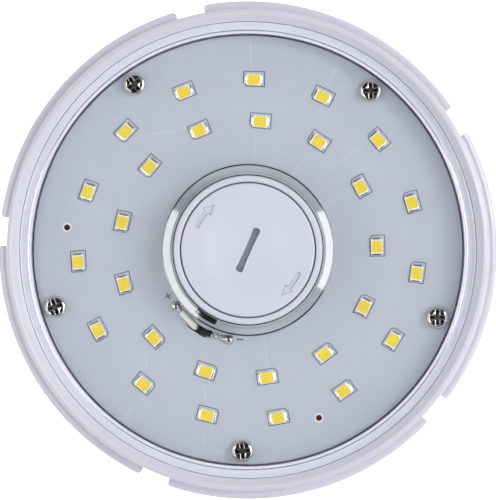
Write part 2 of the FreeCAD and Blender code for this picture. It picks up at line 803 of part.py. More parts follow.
def module_lead_holes():
    """Cylinders that cut the holes of a module's two leads through the sink's wall and the strip on it."""
    inside = face_distance - sink_wall - 1
    reach = sink_wall + strip_thickness + 2
    return Part.makeCompound([Part.makeCylinder(module_lead_radius + fit_gap, reach,
                                                Vec(inside, side * module_lead_spread, module_lead_height),
                                                Vec(1, 0, 0)) for side in (-1, 1)])


def strip_screw_heights():
    """The heights of the two screws of each strip."""
    inset = strip_end_margin + strip_screw_inset
    return (sink_foot + inset, sink_top - inset)


def strip_heights():
    """The heights of the LEDs along a strip."""
    middle = (sink_foot + sink_top) / 2
    return [middle + (k - (strip_led_count - 1) / 2) * strip_led_pitch for k in range(strip_led_count)]


def led_strips():
    """The three flat boards of one module."""
    board = Part.makeBox(strip_thickness, strip_width, module_length - 2 * strip_end_margin,
                         Vec(face_distance, -strip_width / 2, sink_foot + strip_end_margin))
    boards = Part.makeCompound([turned(board, a) for a in facet_angles()])
    return boards.cut([strip_screw_holes(strip_screw_radius + fit_gap), module_lead_holes()])


def led_frame():
    """The white moulded body of one LED, on z = 0, with the pocket for its gel."""
    body = slab(led_length, led_width, 0, led_height)
    floor = led_height - gel_depth
    return body.cut(led_gel_block(floor, led_height))


def led_gel_block(low, high):
    """The tapered block of gel between two heights, wider at the top."""
    bottom = Part.makePolygon([Vec(x * gel_length / 2, y * gel_width / 2, low)
                               for x, y in ((-1, -1), (1, -1), (1, 1), (-1, 1), (-1, -1))])
    draft = led_wall_draft * (high - low) / gel_depth
    wide_x = gel_length / 2 + draft
    wide_y = gel_width / 2 + draft
    top = Part.makePolygon([Vec(x * wide_x, y * wide_y, high)
                            for x, y in ((-1, -1), (1, -1), (1, 1), (-1, 1), (-1, -1))])
    return Part.makeLoft([bottom, top], True, True)


def led_gel():
    """The yellow gel in one LED's pocket."""
    return led_gel_block(led_height - gel_depth, led_height - gel_dip)


def led_package():
    """One LED as a single solid: its moulded body filled with gel to just below the rim."""
    return led_frame().fuse(led_gel()).removeSplitter()


def on_strips(part):
    """Copies of an LED part at every place on one module's three strips."""
    upright = part.copy()
    upright.rotate(CENTRE, Vec(0, 1, 0), 90)
    upright = moved(upright, Vec(face_distance + strip_thickness, 0, 0))
    copies = []
    for angle in facet_angles():
        for height in strip_heights():
            copies.append(moved(turned(upright, angle), Vec(0, 0, height)))
    return Part.makeCompound(copies)


def side_cover():
    """One clear curved cover with its two side legs."""
    low = sink_foot + flange_foot - cover_seat_depth + fit_gap
    high = frame_base - fit_gap
    foot = cover_outer - cover_leg_reach
    cover = sector(foot, cover_outer, cover_half_angle, low, high)
    inner_half = cover_half_angle - math.degrees(cover_thickness / cover_outer)
    cover = cover.cut(sector(foot - 1, cover_inner, inner_half, low - 1, high + 1))
    edges = [e for e in cover.Edges if is_upright_at(e, cover_outer)]
    return cover.makeFillet(cover_rounding, edges)


def is_upright_at(edge, radius):
    """Whether an edge is a straight upright line at this distance from the axis."""
    start = edge.Vertexes[0].Point
    end = edge.Vertexes[-1].Point
    same_place = math.hypot(start.x - end.x, start.y - end.y) < 1e-4
    return same_place and abs(math.hypot(start.x, start.y) - radius) < 1e-3


def end_frame():
    """The white frame at the lit end: notched flange, bevelled wall, lens groove, ledge and web."""
    low = frame_base - cover_seat_depth
    flange_high = frame_base + flange_top
    body = spun([
        (ledge_inner, frame_base + frame_step), (ledge_inner, frame_base + ledge_top),
        (groove_inner, frame_base + ledge_top), (groove_inner, frame_base + lens_groove_floor),
        (wall_inner, frame_base + lens_groove_floor), (wall_inner, frame_top - wall_bevel_drop),
        (crest_radius, frame_top), (flange_inner, frame_top), (flange_inner, flange_high),
        (body_radius, flange_high), (body_radius, low),
        (flange_inner, low), (flange_inner, frame_base),
        (web_inner, frame_base), (web_inner, frame_base + frame_step),
    ])
    body = rounded(body, crest_radius, frame_top, crest_rounding)
    body = rounded(body, flange_inner, frame_top, wall_outer_rounding)
    body = rounded(body, flange_inner, flange_high, flange_fillet)
    body = body.cut(notches(low - 1, flange_high + flange_fillet))
    outer_edges = [e for e in body.Edges if is_flange_edge(e, flange_high)]
    body = body.makeFillet(flange_rounding, outer_edges)
    body = body.cut(cover_grooves(low - 1, frame_base))
    body = body.cut(tube(ledge_inner + relief_wall, flange_inner - relief_wall,
                         frame_base, frame_base + lens_groove_floor - relief_wall))
    hole = Part.makeCylinder(screw_radius + fit_gap, frame_step + 2,
                             point(screw_circle, first_screw_angle, frame_base - 1))
    return body.cut(Part.makeCompound(pattern(hole, screw_count)))


def is_flange_edge(edge, height):
    """Whether an edge is on the outside of the notched flange: its top arc or its upright corners."""
    points = [v.Point for v in edge.Vertexes]
    outside = all(abs(math.hypot(p.x, p.y) - body_radius) < 0.3 for p in points)
    reaches_top = any(abs(p.z - height) < 1e-4 for p in points)
    return outside and reaches_top


def end_plate():
    """The aluminium plate behind the end board, on the frame's web."""
    plate = tube(board_bore, board_radius, end_plate_foot, board_foot)
    hole = Part.makeCylinder(screw_radius + fit_gap, plate_thickness + 2,
                             point(screw_circle, first_screw_angle, end_plate_foot - 1))
    plate = plate.cut(Part.makeCompound(pattern(hole, screw_count)))
    return plate.cut([wire_slot(end_plate_foot - 1, board_foot + 1, plate_slot_margin),
                      key_notch(end_plate_foot - 1, board_foot + 1)])


def key_notch(low, high):
    """The notch in the central hole of the end board and its plate."""
    notch = sector(board_bore - 1, board_bore + key_notch_depth, key_notch_sweep / 2, low, high)
    return turned(notch, wire_slot_angle)


def wire_slot(low, high, wider):
    """The long hole that the supply wires come up through."""
    half = (wire_slot_length - wire_slot_width) / 2
    radius = wire_slot_width / 2 + wider
    middle = slab(2 * radius, 2 * half, low, high)
    ends = [Part.makeCylinder(radius, high - low, Vec(0, y, low)) for y in (-half, half)]
    hole = moved(middle.fuse(ends), Vec(wire_slot_radius, 0, 0))
    return turned(hole, wire_slot_angle)


def end_board():
    """The round board at the lit end, with its screw holes, wire slot and tooling holes."""
    board = tube(board_bore, board_radius, board_foot, board_top)
    hole = Part.makeCylinder(screw_radius + fit_gap, board_thickness + 2,
                             point(screw_circle, first_screw_angle, board_foot - 1))
    tooling = [Part.makeCylinder(tooling_hole_radius, board_thickness + 2,
                                 point(board_radius - tooling_hole_inset, a, board_foot - 1))
               for a in tooling_hole_angles]
    board = board.cut(Part.makeCompound(pattern(hole, screw_count) + tooling))
    return board.cut([wire_slot(board_foot - 1, board_top + 1, 0), key_notch(board_foot - 1, board_top + 1)])


def on_end_board(part):
    """Copies of an LED part at every place on the end board, its length along the ring."""
    copies = []
    rings = ((outer_ring_radius, outer_ring_count, outer_ring_angle),
             (inner_ring_radius, inner_ring_count, inner_ring_angle))
    for radius, count, first in rings:
        lying = moved(turned(part, 90), Vec(radius, 0, board_top))
        copies += pattern(lying, count, first)
    return Part.makeCompound(copies)


def board_screws():
    """The five pan-head screws that hold the end board, plate and frame to the sinks."""
    length = board_thickness + plate_thickness + frame_step + screw_depth
    screw = moved(pan_screw(screw_radius, head_radius, head_height, length), Vec(screw_circle, 0, board_top))
    return Part.makeCompound(pattern(screw, screw_count, first_screw_angle))


def lens():
    """The clear end lens: flat plate, outer skirt in the frame's groove, collar and bead round the port."""
    skirt_foot = frame_base + lens_groove_floor + gasket_thickness
    collar_foot = board_top + press_gap
    body = spun([
        (collar_inner, collar_foot), (collar_outer, collar_foot), (collar_outer, lens_foot),
        (lens_skirt_inner, lens_foot), (lens_skirt_inner, skirt_foot), (lens_radius, skirt_foot),
        (lens_radius, lens_top), (collar_inner, lens_top),
    ])
    body = rounded(body, lens_radius, lens_top, lens_rounding)
    body = rounded(body, collar_outer, lens_foot, collar_rounding)
    return body.fuse(lens_bead()).removeSplitter()


def lens_bead():
    """The raised bead of the lens round the port, down to the middle of the plate."""
    inner = Vec(collar_inner, 0, lens_top)
    crest = Vec(collar_inner + lens_bead_width / 2, 0, lens_top + lens_bead_rise)
    outer = Vec(collar_inner + lens_bead_width, 0, lens_top)
    drop = Vec(0, 0, -lens_thickness / 2)
    sides = Part.makePolygon([outer, outer + drop, inner + drop, inner])
    section = Part.Wire([Part.Arc(inner, crest, outer).toShape()] + sides.Edges)
    return Part.Face(section).revolve(CENTRE, Z_AXIS, 360)


def lens_outer_gasket():
    """The ring seal in the frame's groove, under the lens's skirt."""
    low = frame_base + lens_groove_floor
    return tube(lens_skirt_inner, lens_radius, low, low + gasket_thickness)


def port_tube():
    """The white accessory port: rim, ledge, bore, closed floor and the flange under the end plate."""
    flange_high = end_plate_foot - press_gap
    body = disc(port_radius, port_bottom - port_floor, port_top)
    body = rounded(body, port_radius, port_top, cap_rounding)
    flange = disc(port_radius + port_flange, flange_high - port_flange_thickness, flange_high)
    body = body.fuse(flange)
    body = body.cut(disc(port_bore, port_bottom, port_top + 1))
    body = body.cut(disc(rim_inner, port_top - rim_depth, port_top + 1))
    lead_hole = slab(4 * lead_spacing, 2 * lead_spacing, port_bottom - port_floor - 1, port_bottom + 1)
    return body.cut(lead_hole).removeSplitter()


def port_socket():
    """The accessory socket on the port's floor, with four pin holes."""
    body = disc(socket_radius, port_bottom, port_bottom + socket_height)
    pin = Part.makeCylinder(socket_pin_radius, socket_height,
                            Vec(socket_pin_circle, 0, port_bottom + socket_height / 2))
    return body.cut(Part.makeCompound(pattern(pin, socket_pin_count, 45)))


def socket_leads():
    """The pair of leads from the port's socket down to the driver board."""
    front = driver_board_thickness / 2 + mains_wire_radius + press_gap
    leads = []
    for side in (-1, 1):
        leads.append(wire_along([
            Vec(side * socket_lead_offset, front, driver_board_top - lead_lap),
            Vec(side * socket_lead_offset, front, driver_board_top + socket_lead_rise),
            Vec(side * lead_spacing, 0, driver_board_top + socket_lead_gather),
            Vec(side * lead_spacing, 0, port_bottom),
        ], mains_wire_radius, mains_wire_bend))
    return Part.makeCompound(leads)


def module_lead_end(module, side):
    """Where a module's lead meets the face of its strip, and the direction outwards there."""
    angle = first_module_angle + module * module_pitch
    outwards = point(1, angle)
    aside = point(1, angle + 90) * (side * module_lead_spread)
    return outwards * (face_distance + strip_thickness) + aside + Vec(0, 0, module_lead_height), outwards


def module_lead(module, side):
    """One lead of a module: off the driver board, across the core and through the sink to its strip."""
    board_face, board_end, offset = module_lead_starts[module]
    start_x = board_end * (offset + module_lead_step * (side + 1) / 2)
    start_y = board_face * (driver_board_thickness / 2 + module_lead_radius + press_gap)
    end, outwards = module_lead_end(module, side)
    return wire_along([
        Vec(start_x, start_y, driver_board_top - lead_lap),
        Vec(start_x, start_y, driver_board_top + module_lead_rise),
        end - outwards * (face_distance + strip_thickness - module_lead_turn), end,
    ], module_lead_radius, module_lead_bend)


def module_joint(module, side):
    """The dome of solder over the end of one lead."""
    end, outwards = module_lead_end(module, side)
    dome = solder_dome(module_joint_radius, module_joint_height)
    dome.rotate(CENTRE, Vec(0, 1, 0), 90)
    return moved(turned(dome, first_module_angle + module * module_pitch), end)


def of_all_modules(piece):
    """A piece that each module has twice, made for every module and side."""
    return Part.makeCompound([piece(k, side) for k in range(module_count) for side in (-1, 1)])


def cap_gasket():
    """The flat seal between the cap and the port's ledge."""
    return tube(port_bore + press_gap, cap_radius, cap_foot - cap_gasket_thickness, cap_foot)


def arrow():
    """One curved arrow on the cap's face, pointing clockwise, as a shallow cutter."""
    low = port_top - arrow_depth
    high = port_top + 1
    half = arrow_stroke / 2
    stroke = sector(arrow_radius - half, arrow_radius + half, arrow_sweep / 2, low, high)
    stroke = turned(stroke, arrow_tail_angle - arrow_sweep / 2)
    head_start = arrow_tail_angle - arrow_sweep
    corners = [point(arrow_radius - arrow_head_width / 2, head_start, low),
               point(arrow_radius + arrow_head_width / 2, head_start, low),
               point(arrow_radius, head_start - arrow_head_sweep, low)]
    head = Part.Face(Part.makePolygon(corners + corners[:1])).extrude(Vec(0, 0, high - low))
    return stroke.fuse(head)


def port_cap():
    """The screw cap of the port: dished disc, coin slot, two arrows and the threaded skirt's core."""
    disc_body = disc(cap_radius, cap_foot, port_top)
    disc_body = rounded(disc_body, cap_radius, port_top, cap_rounding)
    skirt_foot = cap_foot - cap_gasket_thickness - skirt_depth
    skirt = tube(skirt_outer - skirt_wall, skirt_outer, skirt_foot, cap_foot)
    body = disc_body.fuse(skirt)
    dish_sphere = (dish_radius ** 2 + dish_depth ** 2) / (2 * dish_depth)
    dish = Part.makeSphere(dish_sphere, Vec(0, 0, port_top - dish_depth + dish_sphere))
    body = body.cut(dish)
    slot = slab(coin_slot_length, coin_slot_width, port_top - coin_slot_depth, port_top + 1)
    upright = [e for e in slot.Edges if abs(e.Vertexes[0].Z - e.Vertexes[-1].Z) > 1]
    slot = slot.makeFillet(coin_slot_rounding, upright)
    body = body.cut(turned(slot, coin_slot_angle))
    return body.cut(Part.makeCompound(pattern(arrow(), arrow_count)))


def joint_centre(side):
    """The middle of a solder joint on the end board; side is -1 or 1, clockwise or anticlockwise."""
    return point(wire_slot_radius - joint_inset, wire_slot_angle + side * joint_angle, board_top)


def bare_length(side):
    """How far a supply wire's jacket ends from the middle of its joint."""
    return white_bare_length if side < 0 else black_bare_length


def supply_wire(side):
    """One of the two wires from the driver board, up the core, through the slot and to its joint."""
    slot_point = point(wire_slot_radius, wire_slot_angle)
    along = point(1, wire_slot_angle + 90)
    rising = slot_point + along * (side * wire_pair_spacing / 2)
    goal = joint_centre(side)
    flat = Vec(goal.x - rising.x, goal.y - rising.y, 0)
    reach = flat.Length - bare_length(side)
    end = rising + flat.normalize() * reach
    back = -driver_board_thickness / 2 - wire_radius - press_gap
    path = [
        Vec(side * supply_offset, back, driver_board_top - lead_lap),
        Vec(side * supply_offset, back, driver_board_top + supply_rise),
        Vec(rising.x, rising.y, driver_board_top + supply_gather), Vec(rising.x, rising.y, wire_rise),
        Vec(end.x, end.y, wire_rise),
    ]
    return wire_along(path, wire_radius, wire_bend)


def solder_dome(radius, height):
    """A dome of solder on the plane z = 0: the cap of a ball."""
    ball_radius = (radius ** 2 + height ** 2) / (2 * height)
    ball = Part.makeSphere(ball_radius, Vec(0, 0, height - ball_radius))
    return ball.common(slab(4 * radius, 4 * radius, 0, 2 * height))


def solder_joint(side):
    """One domed joint on its pad, with the tinned end of the wire running into it."""
    centre = joint_centre(side)
    dome = turned(solder_dome(joint_radius, joint_height), wire_slot_angle + side * joint_angle)
    slot_point = point(wire_slot_radius, wire_slot_angle)
    along = point(1, wire_slot_angle + 90)
    rising = slot_point + along * (side * wire_pair_spacing / 2)
    back = Vec(rising.x - centre.x, rising.y - centre.y, 0).normalize()
    start = Vec(centre.x, centre.y, wire_rise)
    tinned = Part.makeCylinder(tinned_radius, bare_length(side), start, back)
    return moved(dome, centre).fuse(tinned)


def module_nodes():
    """The pieces of the five light modules, each under its own name."""
    nodes = {}
    shapes = {
        "side_sink": side_sink(),
        "led_strips": led_strips(),
        "strip_leds": on_strips(led_package()),
        "strip_screws": strip_screws(),
        "side_cover": side_cover(),
    }
    for name, shape in shapes.items():
        for k in range(module_count):
            nodes[f"{name}_{k + 1}"] = turned(shape, first_module_angle + k * module_pitch)
    return nodes


def all_nodes():
    """Every piece of the lamp by name."""
    nodes = {
        "centre_contact": centre_contact(),
        "base_insulator": base_insulator(),
        "screw_shell": screw_shell(),
        "driver_housing": driver_housing(),
        "driver_board": driver_board(),
        "transformer": transformer(),
        "capacitors": capacitors(),
        "choke": choke(),
        "rectifier": rectifier(),
        "mains_wires": mains_wires(),
        "lower_screws": lower_screws(),
        "sink_screws": sink_screws(),
        "lower_frame": lower_frame(),
        "base_plate": base_plate(),
        "end_frame": end_frame(),
        "end_plate": end_plate(),
        "end_board": end_board(),
        "end_led_frames": on_end_board(led_frame()),
        "end_led_gels": on_end_board(led_gel()),
        "board_screws": board_screws(),
        "lens": lens(),
        "lens_outer_gasket": lens_outer_gasket(),
        "port_tube": port_tube(),
        "port_socket": port_socket(),
        "socket_leads": socket_leads(),
        "module_leads": of_all_modules(module_lead),
        "module_joints": of_all_modules(module_joint),
        "cap_gasket": cap_gasket(),
        "port_cap": port_cap(),
        "supply_wire_white": supply_wire(-1),
        "supply_wire_black": supply_wire(1),
        "solder_joints": Part.makeCompound([solder_joint(-1), solder_joint(1)]),
    }
    nodes.update(module_nodes())
    return nodes


os.makedirs("parts", exist_ok=True)
for node, shape in all_nodes().items():
    print(f"{node}: {len(shape.Solids)} solid(s), {shape.Volume:.1f} mm3, valid {shape.isValid()}")
    shape.exportStep(f"parts/{node}.step")
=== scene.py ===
"""The looks of the corn lamp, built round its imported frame.

Lengths are metres and angles are degrees, anticlockwise from +X as seen from above the lit end.
The camera looks straight down on the lit end, with +Y up and +X to the right in the picture.
"""

import json
import logging
import math
from dataclasses import dataclass
from enum import Enum
from typing import Iterable, Optional, Sequence

import bmesh
import bpy
from mathutils import Matrix, Vector

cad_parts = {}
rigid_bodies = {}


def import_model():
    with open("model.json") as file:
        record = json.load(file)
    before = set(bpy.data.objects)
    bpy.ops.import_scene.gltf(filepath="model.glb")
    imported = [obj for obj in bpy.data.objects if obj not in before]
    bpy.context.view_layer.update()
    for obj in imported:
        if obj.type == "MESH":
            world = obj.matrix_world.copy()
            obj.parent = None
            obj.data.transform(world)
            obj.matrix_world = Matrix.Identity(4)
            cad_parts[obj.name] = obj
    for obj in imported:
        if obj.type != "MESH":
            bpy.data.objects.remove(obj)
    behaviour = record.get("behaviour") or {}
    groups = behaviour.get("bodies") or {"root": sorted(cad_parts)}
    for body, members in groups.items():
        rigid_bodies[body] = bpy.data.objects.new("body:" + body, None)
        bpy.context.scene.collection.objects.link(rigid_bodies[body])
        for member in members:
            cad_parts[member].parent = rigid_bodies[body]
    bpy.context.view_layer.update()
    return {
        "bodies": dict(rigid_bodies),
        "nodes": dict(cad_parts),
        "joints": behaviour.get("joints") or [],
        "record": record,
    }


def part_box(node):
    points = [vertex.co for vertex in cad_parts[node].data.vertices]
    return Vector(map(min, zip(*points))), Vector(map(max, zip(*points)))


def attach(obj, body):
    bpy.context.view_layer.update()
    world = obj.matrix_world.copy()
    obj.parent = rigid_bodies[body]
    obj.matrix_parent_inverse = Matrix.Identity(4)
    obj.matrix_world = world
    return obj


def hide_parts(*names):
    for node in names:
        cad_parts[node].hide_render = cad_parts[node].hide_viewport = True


log = logging.getLogger("corn_lamp")

Colour = tuple[float, float, float, float]
Flat = tuple[float, float]
Corner = tuple[float, float, float]

FINE_TURN = 288         # steps of a full turn on the large round pieces
THREAD_TURN = 96        # steps of a full turn on the port's and the cap's thread
SMALL_TURN = 32         # steps of a full turn on small round pieces
HAIR = 0.00001          # keeps faces that would coincide apart
PRINT_TOP = 0.00003     # top of a print above its board
LID_RADIUS = 0.0005     # where a turned outline starts and ends beside the axis
RIDGE_FOOT = 0.36       # half the foot of a thread's ridge, as a share of the pitch
RIDGE_CREST = 0.14      # half its crest, as a share of the pitch
RIDGE_RUN = 0.5         # turns over which it fades in and out
RIDGE_START = 0.04      # its rise at either end, as a share of its full rise
NOISE_REACH = (0.3, 0.7)    # where most of a noise's values lie
PLASTIC_INDEX = 1.5     # how strongly plastics bend light
# Screw finishes: the metal, painted shade in the cross recess, and a painted highlight round the recess's
# mouth.
SCREW_FINISHES = ("zinc_screw", "recess_shadow", "recess_edge_highlight")


class Body(Enum):
    """The bodies of the frame that pieces ride on."""

    LAMP = "lamp"
    CAP = "cap"
    LIFTER = "cap_lifter"


class Side(Enum):
    """Which way round the axis, seen from above, or which of two mirrored places."""

    CLOCKWISE = -1
    ANTICLOCKWISE = 1


def tint(red: float, green: float, blue: float) -> Colour:
    """A display colour from 0 to 255 as the linear colour that a shader takes.

    Args:
        red: Red share as a screen shows it.
        green: Green share as a screen shows it.
        blue: Blue share as a screen shows it.

    Returns:
        Linear red, green, blue and full opacity.
    """
    def linear(value: float) -> float:
        """One channel from display to linear light."""
        share = value / 255
        return share / 12.92 if share <= 0.04045 else ((share + 0.055) / 1.055) ** 2.4

    return linear(red), linear(green), linear(blue), 1.0


def polar(radius: float, angle: float, height: float = 0.0) -> Vector:
    """A point from its distance to the axis, its angle and its height."""
    turn = math.radians(angle)
    return Vector((radius * math.cos(turn), radius * math.sin(turn), height))


def turn_about_axis(angle: float) -> Matrix:
    """The matrix that turns a piece about the lamp's axis."""
    return Matrix.Rotation(math.radians(angle), 4, "Z")


def rounded(corners: Sequence[Corner], steps: int = 6) -> list[Flat]:
    """A closed outline whose corners are rounded.

    Args:
        corners: The x, y and rounding radius of each corner, in order.
        steps: How many straight pieces each rounding has.

    Returns:
        The points of the outline.
    """
    outline: list[Flat] = []
    for k, (x, y, radius) in enumerate(corners):
        here = Vector((x, y))
        if radius <= 0:
            outline.append((x, y))
            continue
        before = (Vector(corners[k - 1][:2]) - here).normalized()
        after = (Vector(corners[(k + 1) % len(corners)][:2]) - here).normalized()
        half = before.angle(after) / 2
        centre = here + (before + after).normalized() * (radius / math.sin(half))
        start = here + before * (radius / math.tan(half)) - centre
        end = here + after * (radius / math.tan(half)) - centre
        first = math.atan2(start.y, start.x)
        sweep = (math.atan2(end.y, end.x) - first + math.pi) % (2 * math.pi) - math.pi
        for step in range(steps + 1):
            turn = first + sweep * step / steps
            outline.append((centre.x + radius * math.cos(turn), centre.y + radius * math.sin(turn)))
    return outline


def box_outline(length: float, width: float, rounding: float, steps: int = 3) -> list[Flat]:
    """A rounded rectangle about the origin.

    Args:
        length: Its length along X.
        width: Its width along Y.
        rounding: Radius of its corners.
        steps: How many straight pieces each rounding has.

    Returns:
        The points of the outline, anticlockwise.
    """
    half_x, half_y = length / 2, width / 2
    return rounded([(half_x, -half_y, rounding), (half_x, half_y, rounding),
                    (-half_x, half_y, rounding), (-half_x, -half_y, rounding)], steps)


def circle_outline(radius: float, sides: int) -> list[Flat]:
    """A circle about the origin, as a polygon."""
    return [(radius * math.cos(2 * math.pi * k / sides), radius * math.sin(2 * math.pi * k / sides))
            for k in range(sides)]


def grown(outline: Sequence[Flat], distance: float) -> list[Flat]:
    """An anticlockwise outline moved outwards by a distance, with mitred corners.

    Args:
        outline: The points of a closed outline, anticlockwise.
        distance: How far each side moves outwards.

    Returns:
        The points of the larger outline, as many as before.
    """
    result: list[Flat] = []
    for k, (x, y) in enumerate(outline):
        before = (Vector((x, y)) - Vector(outline[k - 1])).normalized()
        after = (Vector(outline[(k + 1) % len(outline)]) - Vector((x, y))).normalized()
        normal = Vector((before.y + after.y, -before.x - after.x))
        if normal.length < 1e-9:
            normal = Vector((before.y, -before.x))
        normal.normalize()
        stretch = max(normal.dot(Vector((before.y, -before.x))), 0.4)
        result.append((x + normal.x * distance / stretch, y + normal.y * distance / stretch))
    return result


class Draft:
    """A mesh in the making: its points, its faces and the tone, or material number, of each face."""

    def __init__(self) -> None:
        """Starts with no points and with tone 0."""
        self.points: list[Vector] = []
        self.faces: list[tuple[int, ...]] = []
        self.tones: list[int] = []
        self.tone = 0

    def ring(self, points: Iterable[Sequence[float]]) -> list[int]:
        """Adds points.

        Args:
            points: The new points.

        Returns:
            Their numbers.
        """
        start = len(self.points)
        self.points.extend(Vector(p) for p in points)
        return list(range(start, len(self.points)))

    def face(self, numbers: Sequence[int]) -> None:
        """Adds one face in the present tone."""
        self.faces.append(tuple(numbers))
        self.tones.append(self.tone)

    def bridge(self, first: Sequence[int], second: Sequence[int]) -> None:
        """Joins two closed rings of equal length with four-sided faces.

        Args:
            first: Point numbers of one ring.
            second: Point numbers of the other ring.
        """
        for k in range(len(first)):
            n = (k + 1) % len(first)
            self.face((first[k], first[n], second[n], second[k]))

    def stack(self, sections: Sequence[Sequence[Sequence[float]]]) -> "Draft":
        """A closed solid through sections of equal point count, with a lid at each end.

        Args:
            sections: The sections in order, each a closed ring of points.

        Returns:
            This draft.
        """
        rings = [self.ring(s) for s in sections]
        for first, second in zip(rings, rings[1:]):
            self.bridge(first, second)
        self.face(list(reversed(rings[0])))
        self.face(rings[-1])
        return self

    def layers(self, layers: Sequence[tuple[Sequence[Flat], float]]) -> "Draft":
        """A closed solid through flat outlines, each at its own height.

        Args:
            layers: Outline and height of each layer, from one end to the other.

        Returns:
            This draft.
        """
        return self.stack([[(x, y, z) for x, y in outline] for outline, z in layers])

    def frame(self, outer: Sequence[Flat], inner: Sequence[Flat], low: float, high: float) -> "Draft":
        """A flat closed band between two outlines of equal point count.

        Args:
            outer: The band's outer outline.
            inner: Its inner outline.
            low: Height of its underside.
            high: Height of its top.

        Returns:
            This draft.
        """
        loops = [self.ring([(x, y, z) for x, y in outline])
                 for outline, z in ((outer, low), (outer, high), (inner, high), (inner, low))]
        for k in range(4):
            self.bridge(loops[k], loops[(k + 1) % 4])
        return self

    def lathe(self, outline: Sequence[Flat], segments: int = FINE_TURN) -> "Draft":
        """A ring about the axis from a closed outline of radius and height.

        Args:
            outline: Radius and height of each point, none on the axis.
            segments: How many steps the full turn has.

        Returns:
            This draft.
        """
        rings = [self.ring([polar(r, 360 * k / segments, z) for r, z in outline]) for k in range(segments)]
        for k in range(segments):
            self.bridge(rings[k], rings[(k + 1) % segments])
        return self

    def spun(self, outline: Sequence[Flat], segments: int = FINE_TURN) -> "Draft":
        """A solid about the axis from an open outline whose ends are closed by flat lids.

        Args:
            outline: Radius and height of each point, from one lid round to the other.
            segments: How many steps the full turn has.

        Returns:
            This draft.
        """
        return self.layers([(circle_outline(r, segments), z) for r, z in outline])

    def tube(self, path: Sequence[Vector], radius: float, sides: int) -> "Draft":
        """A round bar along a path.

        Args:
            path: The points of its middle line.
            radius: Its radius.
            sides: How many sides its section has.

        Returns:
            This draft.
        """
        heading = (path[1] - path[0]).normalized()
        across = heading.orthogonal().normalized()
        sections = []
        for k, here in enumerate(path):
            ahead = path[min(k + 1, len(path) - 1)] - path[max(k - 1, 0)]
            ahead.normalize()
            across = (across - ahead * across.dot(ahead)).normalized()
            other = ahead.cross(across)
            sections.append([here + (across * math.cos(2 * math.pi * s / sides)
                                     + other * math.sin(2 * math.pi * s / sides)) * radius
                             for s in range(sides)])
        return self.stack(sections)

    def thread(self, root: float, crest: float, pitch: float, turns: float, foot: float,
               per_turn: int = 48) -> "Draft":
        """A helical ridge that fades in at its start and out at its end.

        Args:
            root: Radius at its foot, a little inside the wall it stands on.
            crest: Radius of its crest, larger than root outside and smaller inside.
            pitch: Rise of one turn.
            turns: How many turns it has.
            foot: Height of its start.
            per_turn: Steps of one turn.

        Returns:
            This draft.
        """
        steps = int(turns * per_turn)
        sections = []
        for k in range(steps + 1):
            along = k / per_turn
            fade = min(1.0, along / RIDGE_RUN, (turns - along) / RIDGE_RUN)
            height = foot + pitch * along
            rise = (crest - root) * (RIDGE_START + (1 - RIDGE_START) * fade)
            outline = ((root, -RIDGE_FOOT), (root + rise, -RIDGE_CREST), (root + rise, RIDGE_CREST),
                       (root, RIDGE_FOOT))
            sections.append([polar(r, 360 * along, height + z * pitch) for r, z in outline])
        return self.stack(sections)

    def take(self, other: "Draft", place: Optional[Matrix] = None) -> "Draft":
        """Adds a copy of another draft.

        Args:
            other: The draft that is copied.
            place: Where the copy goes, or None for where it is.

        Returns:
            This draft.
        """
        start = len(self.points)
        matrix = place or Matrix.Identity(4)
        self.points.extend(matrix @ p for p in other.points)
        self.faces.extend(tuple(start + n for n in face) for face in other.faces)
        self.tones.extend(other.tones)
        return self

    def build(self, name: str, sharp: float = 32.0) -> bpy.types.Object:
        """Makes the mesh object, with its faces turned outwards.

        Args:
            name: The piece's name.
            sharp: Edges that turn by more than this angle stay crisp.

        Returns:
            The new object, in place.
        """
        mesh = bpy.data.meshes.new(name)
        mesh.from_pydata(self.points, [], self.faces)
        mesh.polygons.foreach_set("material_index", self.tones)
        work = bmesh.new()
        work.from_mesh(mesh)
        bmesh.ops.recalc_face_normals(work, faces=work.faces)
        work.to_mesh(mesh)
        work.free()
        mesh.shade_smooth()
        mesh.set_sharp_from_angle(angle=math.radians(sharp))
        piece = bpy.data.objects.new(name, mesh)
        bpy.context.scene.collection.objects.link(piece)
        even = piece.modifiers.new("even_shading", "WEIGHTED_NORMAL")
        even.keep_sharp = True
        return piece


def drafted(piece: bpy.types.Object) -> Draft:
    """The mesh of an object as a draft, and the object removed.

    Args:
        piece: The object whose mesh is taken over.

    Returns:
        The draft, with the tone of each face.
    """
    draft = Draft()
    draft.ring([v.co for v in piece.data.vertices])
    for polygon in piece.data.polygons:
        draft.tone = polygon.material_index
        draft.face(polygon.vertices)
    bpy.data.objects.remove(piece)
    return draft


def carve(piece: bpy.types.Object, cutter: bpy.types.Object) -> bpy.types.Object:
    """Cuts one closed mesh out of another, and removes the cutter.

    Args:
        piece: The piece that is cut.
        cutter: The closed mesh that is taken away.

    Returns:
        The cut piece.
    """
    piece.modifiers.clear()
    change = piece.modifiers.new("carve", "BOOLEAN")
    change.operation = "DIFFERENCE"
    change.solver = "EXACT"
    change.object = cutter
    graph = bpy.context.evaluated_depsgraph_get()
    mesh = bpy.data.meshes.new_from_object(piece.evaluated_get(graph))
    piece.modifiers.clear()
    piece.data = mesh
    bpy.data.objects.remove(cutter)
    return piece


def easing_cutter(outline: Sequence[Flat], surface: float, depth: float, easing: float) -> Draft:
    """A cutter whose mouth widens in a quarter round, so that the cut has an eased edge.

    Args:
        outline: The cut's outline, anticlockwise.
        surface: Height of the surface that is cut.
        depth: How deep the cut goes.
        easing: Radius of the eased edge.

    Returns:
        The cutter's draft.
    """
    layers = [(outline, surface - depth)]
    for step in range(5):
        turn = math.pi / 2 * step / 4
        layers.append((grown(outline, easing * (1 - math.cos(turn))),
                       surface - easing * (1 - math.sin(turn))))
    layers.append((grown(outline, easing * 1.2), surface + easing))
    return Draft().layers(layers)


